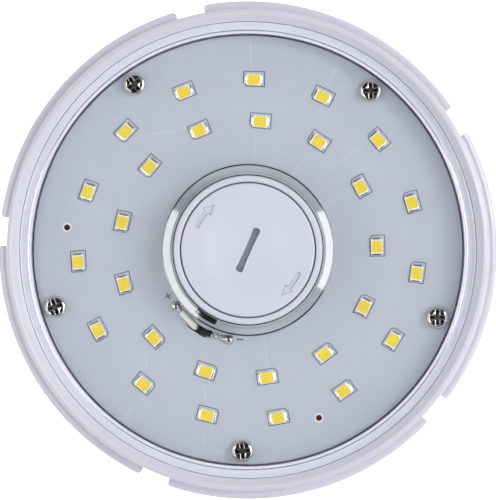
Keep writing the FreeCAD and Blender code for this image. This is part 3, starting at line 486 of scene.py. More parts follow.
class Shader:
    """A material's node tree, with short calls that add and join its nodes."""

    def __init__(self, name: str) -> None:
        """Starts an empty material with its output node.

        Args:
            name: The material's name.
        """
        self.material = bpy.data.materials.new(name)
        self.material.use_nodes = True
        self.tree = self.material.node_tree
        self.tree.nodes.clear()
        self.output = self.add("ShaderNodeOutputMaterial")
        self.place = self.add("ShaderNodeTexCoord").outputs["Object"]

    def add(self, kind: str, setting: Optional[dict[str, object]] = None, **inputs: object) -> bpy.types.Node:
        """Adds a node.

        Args:
            kind: Blender's name of the node type.
            setting: Properties of the node itself.
            inputs: Values or sockets for its inputs, with underscores for spaces.

        Returns:
            The new node.
        """
        node = self.tree.nodes.new(kind)
        for key, value in (setting or {}).items():
            setattr(node, key, value)
        for key, value in inputs.items():
            self.feed(node.inputs[key.replace("_", " ")], value)
        return node

    def feed(self, socket: bpy.types.NodeSocket, value: object) -> None:
        """Links a socket into an input, or sets the input's own value.

        Args:
            socket: The input.
            value: A socket, or the value.
        """
        if isinstance(value, bpy.types.NodeSocket):
            self.tree.links.new(value, socket)
        else:
            socket.default_value = value

    def math(self, operation: str, first: object, second: object = 0.5) -> bpy.types.NodeSocket:
        """One sum of two values or sockets.

        Args:
            operation: Blender's name of the sum.
            first: The first value or socket.
            second: The second value or socket.

        Returns:
            The result.
        """
        node = self.add("ShaderNodeMath", {"operation": operation})
        self.feed(node.inputs[0], first)
        self.feed(node.inputs[1], second)
        return node.outputs[0]

    def stretched(self, x: float, y: float, z: float) -> bpy.types.NodeSocket:
        """The piece's own coordinates with each axis scaled."""
        return self.add("ShaderNodeMapping", Vector=self.place, Scale=(x, y, z)).outputs[0]

    def noise(self, size: float, detail: float = 2.0, place: Optional[bpy.types.NodeSocket] = None,
              roughness: float = 0.5) -> bpy.types.NodeSocket:
        """Cloudy noise.

        Args:
            size: Length of one cloud in metres.
            detail: Octaves of finer noise.
            place: Coordinates, or None for the piece's own.
            roughness: Weight of the finer octaves.

        Returns:
            The noise, from 0 to 1.
        """
        node = self.add("ShaderNodeTexNoise", Vector=place or self.place, Scale=1 / size, Detail=detail,
                        Roughness=roughness)
        return node.outputs["Fac"]

    def blend(self, share: object, first: object, second: object) -> bpy.types.NodeSocket:
        """The colour between two colours.

        Args:
            share: 0 for the first colour, 1 for the second.
            first: The first colour.
            second: The second colour.

        Returns:
            The mixed colour.
        """
        node = self.add("ShaderNodeMix", {"data_type": "RGBA"})
        self.feed(node.inputs["Factor"], share)
        self.feed(node.inputs["A"], first)
        self.feed(node.inputs["B"], second)
        return node.outputs["Result"]

    def span(self, value: bpy.types.NodeSocket, low: float, high: float, to_low: float,
             to_high: float) -> bpy.types.NodeSocket:
        """A value carried from one range to another, clamped.

        Args:
            value: The value's socket.
            low: Lower end of its range.
            high: Upper end of its range.
            to_low: What the lower end becomes.
            to_high: What the upper end becomes.

        Returns:
            The new value.
        """
        node = self.add("ShaderNodeMapRange", Value=value, From_Min=low, From_Max=high, To_Min=to_low,
                        To_Max=to_high)
        return node.outputs["Result"]

    def uneven(self, pattern: bpy.types.NodeSocket, middle: float, least: float,
               most: float) -> bpy.types.NodeSocket:
        """A value that wavers round its middle as a noise does.

        Args:
            pattern: The noise.
            middle: The value that it wavers round.
            least: Its lowest share of the middle.
            most: Its highest share of the middle.

        Returns:
            The wavering value.
        """
        return self.span(pattern, *NOISE_REACH, middle * least, middle * most)

    def bump(self, height: object, depth: float,
             normal: Optional[bpy.types.NodeSocket] = None) -> bpy.types.NodeSocket:
        """A bumped normal.

        Args:
            height: The height pattern, from 0 to 1.
            depth: What 1 stands for, in metres.
            normal: An earlier bump to add to, or None.

        Returns:
            The normal.
        """
        node = self.add("ShaderNodeBump", Height=height, Distance=depth, Strength=1.0)
        if normal:
            self.feed(node.inputs["Normal"], normal)
        return node.outputs["Normal"]

    def distance_to_axis(self) -> bpy.types.NodeSocket:
        """How far a point lies from the lamp's axis.

        Returns:
            The distance in metres.
        """
        apart = self.add("ShaderNodeSeparateXYZ", Vector=self.place)
        square = self.math("ADD", self.math("MULTIPLY", apart.outputs["X"], apart.outputs["X"]),
                           self.math("MULTIPLY", apart.outputs["Y"], apart.outputs["Y"]))
        return self.math("SQRT", square)

    def surface(self, **inputs: object) -> bpy.types.Node:
        """The main surface node, joined to the output.

        Args:
            inputs: Values or sockets for its inputs, with underscores for spaces.

        Returns:
            The node.
        """
        node = self.add("ShaderNodeBsdfPrincipled", **inputs)
        self.feed(self.output.inputs["Surface"], node.outputs[0])
        return node


@dataclass(frozen=True)
class MouldedPlastic:
    """Opaque moulded plastic with a faint cloudiness and a fine moulded grain."""

    colour: Colour
    roughness: float = 0.3
    grain: float = 0.000012
    grain_size: float = 0.0006
    cloud: float = 0.03
    glow: float = 0.0
    coat: float = 0.0
    cloud_size: float = 0.02
    wear_size: float = 0.004
    glow_reach: Corner = (0.002, 0.002, 0.0022)
    glow_scale: float = 0.4
    coat_roughness: float = 0.12

    def make(self, name: str) -> bpy.types.Material:
        """The finish's material.

        Args:
            name: The material's name.

        Returns:
            The new material.
        """
        shader = Shader(name)
        clouds = shader.noise(self.cloud_size, 3)
        fine = shader.noise(self.grain_size, 2)
        darker = tuple(c * (1 - self.cloud) for c in self.colour[:3]) + (1.0,)
        rough = shader.uneven(shader.noise(self.wear_size, 3), self.roughness, 0.85, 1.2)
        shader.surface(Base_Color=shader.blend(clouds, darker, self.colour), Roughness=rough,
                       Subsurface_Weight=self.glow, Subsurface_Radius=self.glow_reach,
                       Subsurface_Scale=self.glow_scale, Coat_Weight=self.coat,
                       Coat_Roughness=self.coat_roughness,
                       Normal=shader.bump(fine, self.grain), IOR=PLASTIC_INDEX)
        return shader.material


@dataclass(frozen=True)
class ClearPlastic:
    """Clear moulded plastic that lets the lamps' light through."""

    colour: Colour
    roughness: float = 0.03
    ripple: float = 0.000004
    ripple_size: float = 0.012
    light_passed: float = 0.93
    coat: float = 0.0
    coat_roughness: float = 0.06
    coat_index: float = 1.6
    smear_size: float = 0.02
    tone_size: float = 0.05
    second_tone: Colour = tint(253, 254, 255)

    def make(self, name: str) -> bpy.types.Material:
        """The finish's material.

        Args:
            name: The material's name.

        Returns:
            The new material.
        """
        shader = Shader(name)
        ripple = shader.noise(self.ripple_size, 1)
        smear = shader.span(shader.noise(self.smear_size, 4), 0.45, 0.8, self.roughness, self.roughness * 2)
        colour = shader.blend(shader.noise(self.tone_size, 1), self.colour, self.second_tone)
        clear = shader.surface(Base_Color=colour, Roughness=smear, Transmission_Weight=1.0,
                               IOR=PLASTIC_INDEX, Coat_Weight=self.coat, Coat_IOR=self.coat_index,
                               Coat_Roughness=self.coat_roughness, Normal=shader.bump(ripple, self.ripple))
        passed = shader.add("ShaderNodeBsdfTransparent", Color=(self.light_passed,) * 3 + (1.0,))
        rays = shader.add("ShaderNodeLightPath")
        mixed = shader.add("ShaderNodeMixShader")
        shader.feed(mixed.inputs[0], rays.outputs["Is Shadow Ray"])
        shader.feed(mixed.inputs[1], clear.outputs[0])
        shader.feed(mixed.inputs[2], passed.outputs[0])
        shader.feed(shader.output.inputs["Surface"], mixed.outputs[0])
        return shader.material


@dataclass(frozen=True)
class Metal:
    """Bare or plated metal, with drawn or tumbled marks and a little tarnish."""

    colour: Colour
    roughness: float = 0.25
    marks: float = 0.000006
    marks_size: float = 0.0004
    along_axis: float = 1.0
    tarnish: Colour = (0.3, 0.28, 0.25, 1.0)
    tarnish_share: float = 0.25
    metallic: float = 1.0
    stain_size: float = 0.006

    def make(self, name: str) -> bpy.types.Material:
        """The finish's material.

        Args:
            name: The material's name.

        Returns:
            The new material.
        """
        shader = Shader(name)
        drawn = shader.stretched(1.0, 1.0, 1 / self.along_axis)
        marks = shader.noise(self.marks_size, 3, drawn, 0.6)
        stain = shader.span(shader.noise(self.stain_size, 4), 0.45, 0.8, 0.0, self.tarnish_share)
        shader.surface(Base_Color=shader.blend(stain, self.colour, self.tarnish), Metallic=self.metallic,
                       Roughness=shader.span(marks, 0.25, 0.75, self.roughness * 0.75, self.roughness * 1.35),
                       Normal=shader.bump(marks, self.marks))
        return shader.material


@dataclass(frozen=True)
class BoardMask:
    """Solder mask over copper: satin, with the weave of tiny waves and a tint that deepens at the rim as
    painted shade.
    """

    colour: Colour
    painted_rim_shade: Colour
    rim_start: float = 0.03
    rim_end: float = 0.053
    roughness: float = 0.38
    cloud_size: float = 0.03
    fleck_size: float = 0.0011
    fleck: float = 0.10
    wave_size: float = 0.004
    wave: float = 0.000012
    weave_size: float = 0.0003
    weave: float = 0.000004
    wear_size: float = 0.003
    coat: float = 0.25
    coat_roughness: float = 0.2

    def make(self, name: str) -> bpy.types.Material:
        """The finish's material.

        Args:
            name: The material's name.

        Returns:
            The new material.
        """
        shader = Shader(name)
        # The tint deepens towards the rim: painted shade.
        share = shader.span(shader.distance_to_axis(), self.rim_start, self.rim_end, 0.0, 1.0)
        uneven = shader.math("MULTIPLY", shader.math("POWER", share, 2.0),
                             shader.math("ADD", shader.noise(self.cloud_size, 2), 0.4))
        colour = shader.blend(uneven, self.colour, self.painted_rim_shade)
        flecks = shader.span(shader.noise(self.fleck_size, 3), *NOISE_REACH, 0.0, self.fleck)
        fine = shader.blend(flecks, colour, tuple(c * 1.12 for c in self.colour[:3]) + (1.0,))
        waves = shader.bump(shader.noise(self.wave_size, 2), self.wave)
        shader.surface(Base_Color=fine, Coat_Weight=self.coat, Coat_Roughness=self.coat_roughness,
                       IOR=PLASTIC_INDEX,
                       Roughness=shader.uneven(shader.noise(self.wear_size, 3), self.roughness, 0.85, 1.2),
                       Normal=shader.bump(shader.noise(self.weave_size, 2), self.weave, waves))
        return shader.material


@dataclass(frozen=True)
class PhosphorGel:
    """Phosphor in clear gel: fine grains under a soft skin."""

    colour: Colour
    edge_colour: Colour
    grain_size: float = 0.00012
    grain: float = 0.000008
    cloud_size: float = 0.0016
    glow: float = 0.15
    glow_reach: Corner = (0.0006, 0.0005, 0.0002)
    glow_scale: float = 0.5
    coat: float = 0.3
    coat_roughness: float = 0.15

    def make(self, name: str) -> bpy.types.Material:
        """The finish's material.

        Args:
            name: The material's name.

        Returns:
            The new material.
        """
        shader = Shader(name)
        grains = shader.noise(self.grain_size, 3)
        broad = shader.noise(self.cloud_size, 2)
        colour = shader.blend(shader.span(shader.math("ADD", grains, broad), 0.75, 1.3, 0.0, 1.0),
                              self.edge_colour, self.colour)
        shader.surface(Base_Color=colour, Roughness=shader.span(grains, *NOISE_REACH, 0.38, 0.6),
                       Subsurface_Weight=self.glow, Subsurface_Radius=self.glow_reach,
                       Subsurface_Scale=self.glow_scale, Coat_Weight=self.coat,
                       Coat_Roughness=self.coat_roughness, Normal=shader.bump(grains, self.grain))
        return shader.material


@dataclass(frozen=True)
class Ink:
    """Printed ink with a broken edge and uneven cover."""

    colour: Colour
    thin_colour: Colour
    roughness: float = 0.6
    cover_size: float = 0.00025
    wear_size: float = 0.0005
    thickness: float = 0.000006

    def make(self, name: str) -> bpy.types.Material:
        """The finish's material.

        Args:
            name: The material's name.

        Returns:
            The new material.
        """
        shader = Shader(name)
        cover = shader.span(shader.noise(self.cover_size, 4), 0.35, 0.62, 0.0, 1.0)
        shader.surface(Base_Color=shader.blend(cover, self.thin_colour, self.colour),
                       Roughness=shader.uneven(shader.noise(self.wear_size, 2), self.roughness, 0.9, 1.1),
                       Normal=shader.bump(cover, self.thickness))
        return shader.material


@dataclass(frozen=True)
class Wound:
    """Enamelled wire or tape wound round a core, as fine ridges along one axis, with painted shade in the
    grooves between them.
    """

    colour: Colour
    groove_shade: Colour
    pitch: float = 0.0006
    metallic: float = 0.6
    roughness: float = 0.3
    ridge: float = 0.3
    wear_size: float = 0.002

    def make(self, name: str) -> bpy.types.Material:
        """The finish's material.

        Args:
            name: The material's name.

        Returns:
            The new material.
        """
        shader = Shader(name)
        ridges = shader.add("ShaderNodeTexWave", {"bands_direction": "Z"}, Vector=shader.place,
                            Scale=0.05 / self.pitch, Distortion=0.4, Detail=1.0).outputs["Fac"]
        # Darker colour in the grooves: painted shade.
        shader.surface(Base_Color=shader.blend(ridges, self.groove_shade, self.colour),
                       Metallic=self.metallic,
                       Roughness=shader.uneven(shader.noise(self.wear_size, 2), self.roughness, 1.0, 1.5),
                       Normal=shader.bump(ridges, self.pitch * self.ridge))
        return shader.material


WHITE_PLASTIC = tint(228, 229, 235)
FRAME_PLASTIC = tint(228, 227, 239)

FINISHES = {
    "tinned_brass": Metal(tint(208, 204, 192), roughness=0.28, tarnish=tint(150, 130, 90), tarnish_share=0.4),
    "black_glass": MouldedPlastic(tint(14, 14, 17), roughness=0.06, grain=0.000003, grain_size=0.004,
                                  cloud=0.2, coat=1.0),
    "plated_shell": Metal(tint(214, 212, 205), roughness=0.16, marks=0.000004, marks_size=0.0008,
                          along_axis=0.2, tarnish=tint(150, 140, 120), tarnish_share=0.3),
    "white_housing": MouldedPlastic(WHITE_PLASTIC, roughness=0.34, grain=0.000014, grain_size=0.0005,
                                    glow=0.05),
    "white_frame": MouldedPlastic(FRAME_PLASTIC, roughness=0.16, grain=0.000003, grain_size=0.0008,
                                  cloud=0.02, glow=0.1, coat=0.6),
    "white_port": MouldedPlastic(tint(224, 226, 238), roughness=0.34, grain=0.000003, grain_size=0.0008,
                                 cloud=0.02, glow=0.08, coat=0.2),
    "driver_board_green": BoardMask(tint(40, 110, 66), painted_rim_shade=tint(28, 84, 50)),
    "ferrite_and_tape": Wound(tint(196, 168, 60), groove_shade=tint(120, 98, 30), pitch=0.0012, metallic=0.0,
                              roughness=0.4),
    "capacitor_sleeve": MouldedPlastic(tint(34, 34, 42), grain=0.000006, grain_size=0.002, cloud=0.2,
                                       coat=0.4),
    "choke_winding": Wound(tint(190, 104, 48), groove_shade=tint(80, 34, 12), pitch=0.0009, metallic=0.8,
                           roughness=0.28),
    "black_epoxy": MouldedPlastic(tint(30, 30, 31), roughness=0.55, grain=0.00002, grain_size=0.0003,
                                  cloud=0.2),
    "zinc_screw": Metal(tint(222, 219, 212), roughness=0.07, marks=0.000002, marks_size=0.0003,
                        tarnish=tint(150, 142, 130), tarnish_share=0.3),
    "plate_aluminium": Metal(tint(202, 204, 208), roughness=0.4, marks=0.00001, marks_size=0.0005,
                             tarnish=tint(150, 152, 158), tarnish_share=0.4),
    "sink_aluminium": Metal(tint(224, 225, 229), roughness=0.42, marks=0.00002, along_axis=60.0,
                            tarnish=tint(200, 202, 208), tarnish_share=0.5, metallic=0.55),
    # Its rim colour is painted shade near the frame's wall.
    "board_mask": BoardMask(tint(181, 186, 195), painted_rim_shade=tint(173, 181, 191)),
    "strip_mask": BoardMask(tint(214, 217, 221), painted_rim_shade=tint(208, 212, 217), rim_start=0.056,
                            rim_end=0.06),
    "led_body": MouldedPlastic(tint(247, 244, 236), grain=0.000003, grain_size=0.0003, cloud=0.04, glow=0.1),
    "led_gel": PhosphorGel(tint(236, 214, 58), edge_colour=tint(226, 198, 50)),
    "clear_lens": ClearPlastic(tint(250, 251, 253), roughness=0.02, ripple=0.000001, ripple_size=0.02,
                               light_passed=0.97),
    "clear_cover": ClearPlastic(tint(246, 248, 252), roughness=0.05, ripple=0.00001, ripple_size=0.01),
    "white_silicone": MouldedPlastic(tint(208, 209, 222), roughness=0.6, grain=0.00001, glow=0.1),
    "grey_rubber": MouldedPlastic(tint(112, 112, 118), roughness=0.7, grain=0.00002, grain_size=0.0004,
                                  cloud=0.1),
    "black_socket": MouldedPlastic(tint(34, 34, 36), roughness=0.45, grain=0.00001, grain_size=0.0005,
                                   cloud=0.2),
    "lead_white": MouldedPlastic(tint(236, 233, 226), roughness=0.38, grain=0.000006, grain_size=0.0008,
                                 cloud=0.05, glow=0.1),
    "lead_black": MouldedPlastic(tint(26, 26, 29), roughness=0.38, grain=0.000006, grain_size=0.0008,
                                 cloud=0.2),
    "solder": Metal(tint(226, 225, 221), roughness=0.13, marks=0.00001, marks_size=0.0006,
                    tarnish=tint(150, 146, 138)),
}

EXTRA_FINISHES = {
    "dark_print": Ink(tint(50, 53, 62), thin_colour=tint(88, 93, 104)),
    # Painted shade: a dark tone on the port's flange and wall under the board, where the slit round the port
    # lies in shadow.
    "port_painted_shade": MouldedPlastic(tint(36, 35, 42), roughness=0.45, grain=0.00001, cloud=0.2),
    "copper_gap": Ink(tint(192, 198, 206), thin_colour=tint(183, 189, 197), roughness=0.45),
    "clear_bead": ClearPlastic(tint(250, 251, 253), roughness=0.02, ripple=0.000001, ripple_size=0.02,
                               light_passed=0.97, coat=1.0),
    "slot_shade": MouldedPlastic(tint(166, 168, 186), roughness=0.4, grain=0.000006, cloud=0.1),
    "arrow_shade": MouldedPlastic(tint(196, 198, 214), roughness=0.4, grain=0.000006, cloud=0.1),
    "pale_print": Ink(tint(236, 238, 242), thin_colour=tint(205, 209, 218)),
    "recess_shadow": Metal(tint(112, 108, 100), roughness=0.28, marks=0.000004, marks_size=0.0002,
                           tarnish=tint(30, 28, 25), tarnish_share=0.6),
    # A lighter metal round the recess's mouth: a painted highlight.
    "recess_edge_highlight": Metal(tint(232, 229, 222), roughness=0.24, marks=0.000004, marks_size=0.0002,
                         tarnish=tint(150, 142, 130), tarnish_share=0.3),
    # Brown board edge darkened as painted shade, used also for the dark disc painted at the foot of each
    # tooling hole.
    "hole_core_and_shade": Metal(tint(120, 62, 40), roughness=0.5, marks=0.00001, marks_size=0.0003,
                        tarnish=tint(60, 26, 16), tarnish_share=0.8, metallic=0.3),
    "tinned_pad": Metal(tint(206, 208, 212), roughness=0.5, marks_size=0.0005, tarnish=tint(170, 170, 172),
                        tarnish_share=0.4, metallic=0.4),
}


class Workshop:
    """Dresses pieces with their finishes and hands them to the bodies of the frame."""

    def __init__(self, frame: dict) -> None:
        """Keeps the frame's nodes and the slots that its record names.

        Args:
            frame: The loaded frame.
        """
        self.nodes = frame["nodes"]
        self.slot_of = {part["node"]: part["material_slot"] for part in frame["record"]["subparts"]}
        self.materials: dict[str, bpy.types.Material] = {}

    def material(self, finish: str) -> bpy.types.Material:
        """The material of a finish, made the first time that it is asked for.

        Args:
            finish: The finish's name.

        Returns:
            Its material.
        """
        if finish not in self.materials:
            made = FINISHES.get(finish) or EXTRA_FINISHES[finish]
            self.materials[finish] = made.make(finish)
        return self.materials[finish]

    def dress(self, piece: bpy.types.Object, finishes: Iterable[str]) -> bpy.types.Object:
        """Gives a piece its materials in the order of its tones.

        Args:
            piece: The piece.
            finishes: The finish of each tone, from 0 up.

        Returns:
            The same piece.
        """
        for finish in finishes:
            piece.data.materials.append(self.material(finish))
        return piece

    def dress_nodes(self) -> None:
        """Gives every carried-over node the finish of its slot."""
        for name, node in self.nodes.items():
            node.data.materials.clear()
            self.dress(node, [self.slot_of[name]])
            log.info("node %s dressed as %s", name, self.slot_of[name])

    def fit(self, piece: bpy.types.Object, slot: str, body: Body = Body.LAMP,
            replaces: Sequence[str] = (), finishes: Sequence[str] = ()) -> bpy.types.Object:
        """Dresses a new piece, in its slot's finish unless other finishes are given, and rides it on its
        body.

        Args:
            piece: The new piece, in place.
            slot: The record's slot that its finish belongs to.
            body: The body that it moves with.
            replaces: The nodes that it stands for.
            finishes: Its materials in the order of its tones, or nothing for the slot's own.

        Returns:
            The piece.
        """
        self.dress(piece, finishes or (slot,))
        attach(piece, body.value)
        if replaces:
            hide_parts(*replaces)
        log.info("piece %s: %d faces on %s", piece.name, len(piece.data.polygons), body.value)
        return piece


@dataclass
class LedPackage:
    """One surface-mounted LED: white cup, gel, end tabs with solder, and the print round it."""

    length: float = 0.0035
    width: float = 0.0028
    height: float = 0.0007
    rounding: float = 0.00018
    pocket_length: float = 0.0029
    pocket_width: float = 0.00252
    pocket_rounding: float = 0.00045
    pocket_depth: float = 0.00045
    pocket_draft: float = 0.00018
    gel_dip: float = 0.00006
    gel_steps: tuple[Flat, ...] = ((0.86, 0.00002), (0.6, 0.00003), (0.3, 0.000035))
    edge_easing: float = 0.00008
    tab_width: float = 0.0022
    tab_reach: float = 0.00062
    tab_height: float = 0.00042
    tab_lap: float = 0.00008
    tab_taper: float = 0.25
    tab_steps: tuple[Flat, ...] = ((1.0, 0.0), (0.93, 0.3), (0.78, 0.62), (0.5, 0.9), (0.25, 1.0))
    print_length: float = 0.0053
    print_width: float = 0.0038
    print_line: float = 0.00018
    print_chamfer: float = 0.0008
    print_height: float = PRINT_TOP

    def cup(self) -> Draft:
        """The white moulded body with its pocket.

        Returns:
            The body's draft, its foot at height 0.
        """
        ease = self.edge_easing
        top = self.height
        return Draft().layers([
            (box_outline(self.length, self.width, self.rounding), 0.0),
            (box_outline(self.length, self.width, self.rounding), top - ease),
            (box_outline(self.length - ease * 0.6, self.width - ease * 0.6, self.rounding), top - ease * 0.3),
            (box_outline(self.length - ease * 2, self.width - ease * 2, self.rounding), top),
            (box_outline(self.pocket_length + ease, self.pocket_width + ease, self.pocket_rounding), top),
            (box_outline(self.pocket_length, self.pocket_width, self.pocket_rounding), top - ease),
            (box_outline(self.pocket_length - ease * 2, self.pocket_width - ease * 2, self.pocket_rounding),
             top - self.pocket_depth),
        ])

    def gel(self) -> Draft:
        """The gel in the pocket, drawn up a little at its edge.

        Returns:
            The gel's draft.
        """
        top = self.height - self.gel_dip
        foot = self.height - self.pocket_depth + HAIR
        layers = [(box_outline(self.pocket_length - inset, self.pocket_width - inset, self.pocket_rounding),
                   height) for inset, height in ((self.pocket_draft, foot), (HAIR, top))]
        for share, dip in self.gel_steps:
            layers.append((box_outline(self.pocket_length * share, self.pocket_width * share,
                                       self.pocket_rounding * share), top - dip))
        return Draft().layers(layers)

    def tabs(self) -> Draft:
        """The soldered tab at each end.

        Returns:
            The draft of both tabs.
        """
        draft = Draft()
        for side in Side:
            middle = side.value * (self.length / 2 + self.tab_reach / 2 - self.tab_lap)
            place = Matrix.Translation((middle, 0, 0))
            reach = self.tab_reach + 2 * self.tab_lap
            sections = []
            for share, rise in self.tab_steps:
                width = self.tab_width * (1 - self.tab_taper + self.tab_taper * share)
                outline = box_outline(reach * share, width, self.tab_lap)
                inwards = -side.value * reach * (1 - share) / 2
                height = max(rise * self.tab_height, HAIR)
                sections.append([(x + inwards, y, height) for x, y in outline])
            draft.take(Draft().stack(sections), place)
        return draft

    def print(self) -> Draft:
        """The printed outline round the package, with one corner cut off.

        Returns:
            The outline's draft.
        """
        half_x, half_y, cut = self.print_length / 2, self.print_width / 2, self.print_chamfer
        outer = [(half_x, -half_y), (half_x, half_y - cut), (half_x - cut, half_y), (-half_x, half_y),
                 (-half_x, -half_y)]
        return Draft().frame(outer, grown(outer, -self.print_line), HAIR, self.print_height)

    def row(self, places: Iterable[Matrix],
            print_shift: Flat = (0.0, 0.0)) -> tuple[Draft, Draft, Draft, Draft]:
        """A package at each place.

        Args:
            places: Where the packages stand.
            print_shift: How far the prints lie off their packages, along X and Y.

        Returns:
            The cups, the gels, the tabs and the prints.
        """
        cups, gels, tabs, prints = Draft(), Draft(), Draft(), Draft()
        shift = Matrix.Translation((*print_shift, 0))
        for place in places:
            cups.take(self.cup(), place)
            gels.take(self.gel(), place)
            tabs.take(self.tabs(), place)
            prints.take(self.print(), shift @ place)
        return cups, gels, tabs, prints


@dataclass(frozen=True)
class PanScrew:
    """A pan-head screw with a cross recess and a cut thread."""

    head_radius: float = 0.00272
    head_height: float = 0.0021
    head_rounding: float = 0.00085
    recess_length: float = 0.0038
    recess_width: float = 0.00098
    recess_depth: float = 0.0016
    recess_easing: float = 0.00014
    recess_inner_rounding: float = 0.3
    recess_end_rounding: float = 0.25
    recess_floor: Flat = (0.45, 0.6)
    recess_waist: Flat = (0.8, 0.9)
    recess_waist_depth: float = 0.45
    shank_radius: float = 0.0014
    thread_depth: float = 0.0002
    thread_pitch: float = 0.0005
    length: float = 0.0156

    def recess(self) -> bpy.types.Object:
        """The cutter of the cross recess, narrower at its floor.

        Returns:
            The cutter, with tone 1, painted shade, on its walls and tone 2, a painted highlight, at its
            mouth.
        """
        top = self.head_height
        half, arm = self.recess_length / 2, self.recess_width / 2

        def cross(reach: float, breadth: float) -> list[Flat]:
            """A cross outline with rounded corners.

            Args:
                reach: From the middle to the end of an arm.
                breadth: Half the width of an arm.

            Returns:
                The points of the outline.
            """
            corners: list[Corner] = []
            inner, end = breadth * self.recess_inner_rounding, breadth * self.recess_end_rounding
            for k in range(4):
                turn = math.radians(90 * k)
                for x, y, radius in ((breadth, -breadth, inner), (reach, -breadth, end),
                                     (reach, breadth, end)):
                    corners.append((x * math.cos(turn) - y * math.sin(turn),
                                    x * math.sin(turn) + y * math.cos(turn), radius))
            return rounded(corners, 3)

        ease, drop = self.recess_easing, self.recess_easing * 0.5
        floor, waist = self.recess_floor, self.recess_waist
        layers = [(cross(half * floor[0], arm * floor[1]), top - self.recess_depth),
                  (cross(half * waist[0], arm * waist[1]), top - self.recess_depth * self.recess_waist_depth),
                  (cross(half, arm), top - drop),
                  (cross(half + ease, arm + ease), top + HAIR),
                  (cross(half + 2 * ease, arm + 2 * ease), top + drop)]
        cutter = Draft()
        cutter.tone = 1
        cutter.layers(layers)
        count = len(layers[0][0])
        for k in range(2 * count, 4 * count):
            cutter.tones[k] = 2
        return cutter.build("recess_cutter")

    def draft(self, workshop: Workshop) -> Draft:
        """The whole screw, its seat on z = 0 and its head above.

        Args:
            workshop: Where its materials come from.

        Returns:
            The screw's draft, with tone 1, painted shade, in the recess and tone 2, a painted highlight, at
            its edge.
        """
        corner = self.head_rounding
        outline = [(self.head_radius * 0.999, 0.0), (self.head_radius, 0.0001)]
        outline += [(self.head_radius - corner * (1 - math.cos(math.pi / 2 * k / 6)),
                     self.head_height - corner * (1 - math.sin(math.pi / 2 * k / 6))) for k in range(7)]
        head = workshop.dress(Draft().spun(outline, SMALL_TURN * 2).build("head"), SCREW_FINISHES)
        screw = drafted(carve(head, workshop.dress(self.recess(), SCREW_FINISHES)))
        screw.tone = 0
        point = self.shank_radius * 0.5
        root, shoulder = self.shank_radius - self.thread_depth, -self.length + 2 * point
        screw.spun([(root, HAIR), (root, shoulder), (point, -self.length)], SMALL_TURN)
        turns = (self.length - 2 * point) / self.thread_pitch - 1
        screw.thread(root - HAIR, self.shank_radius, self.thread_pitch, turns, shoulder, 16)
        return screw


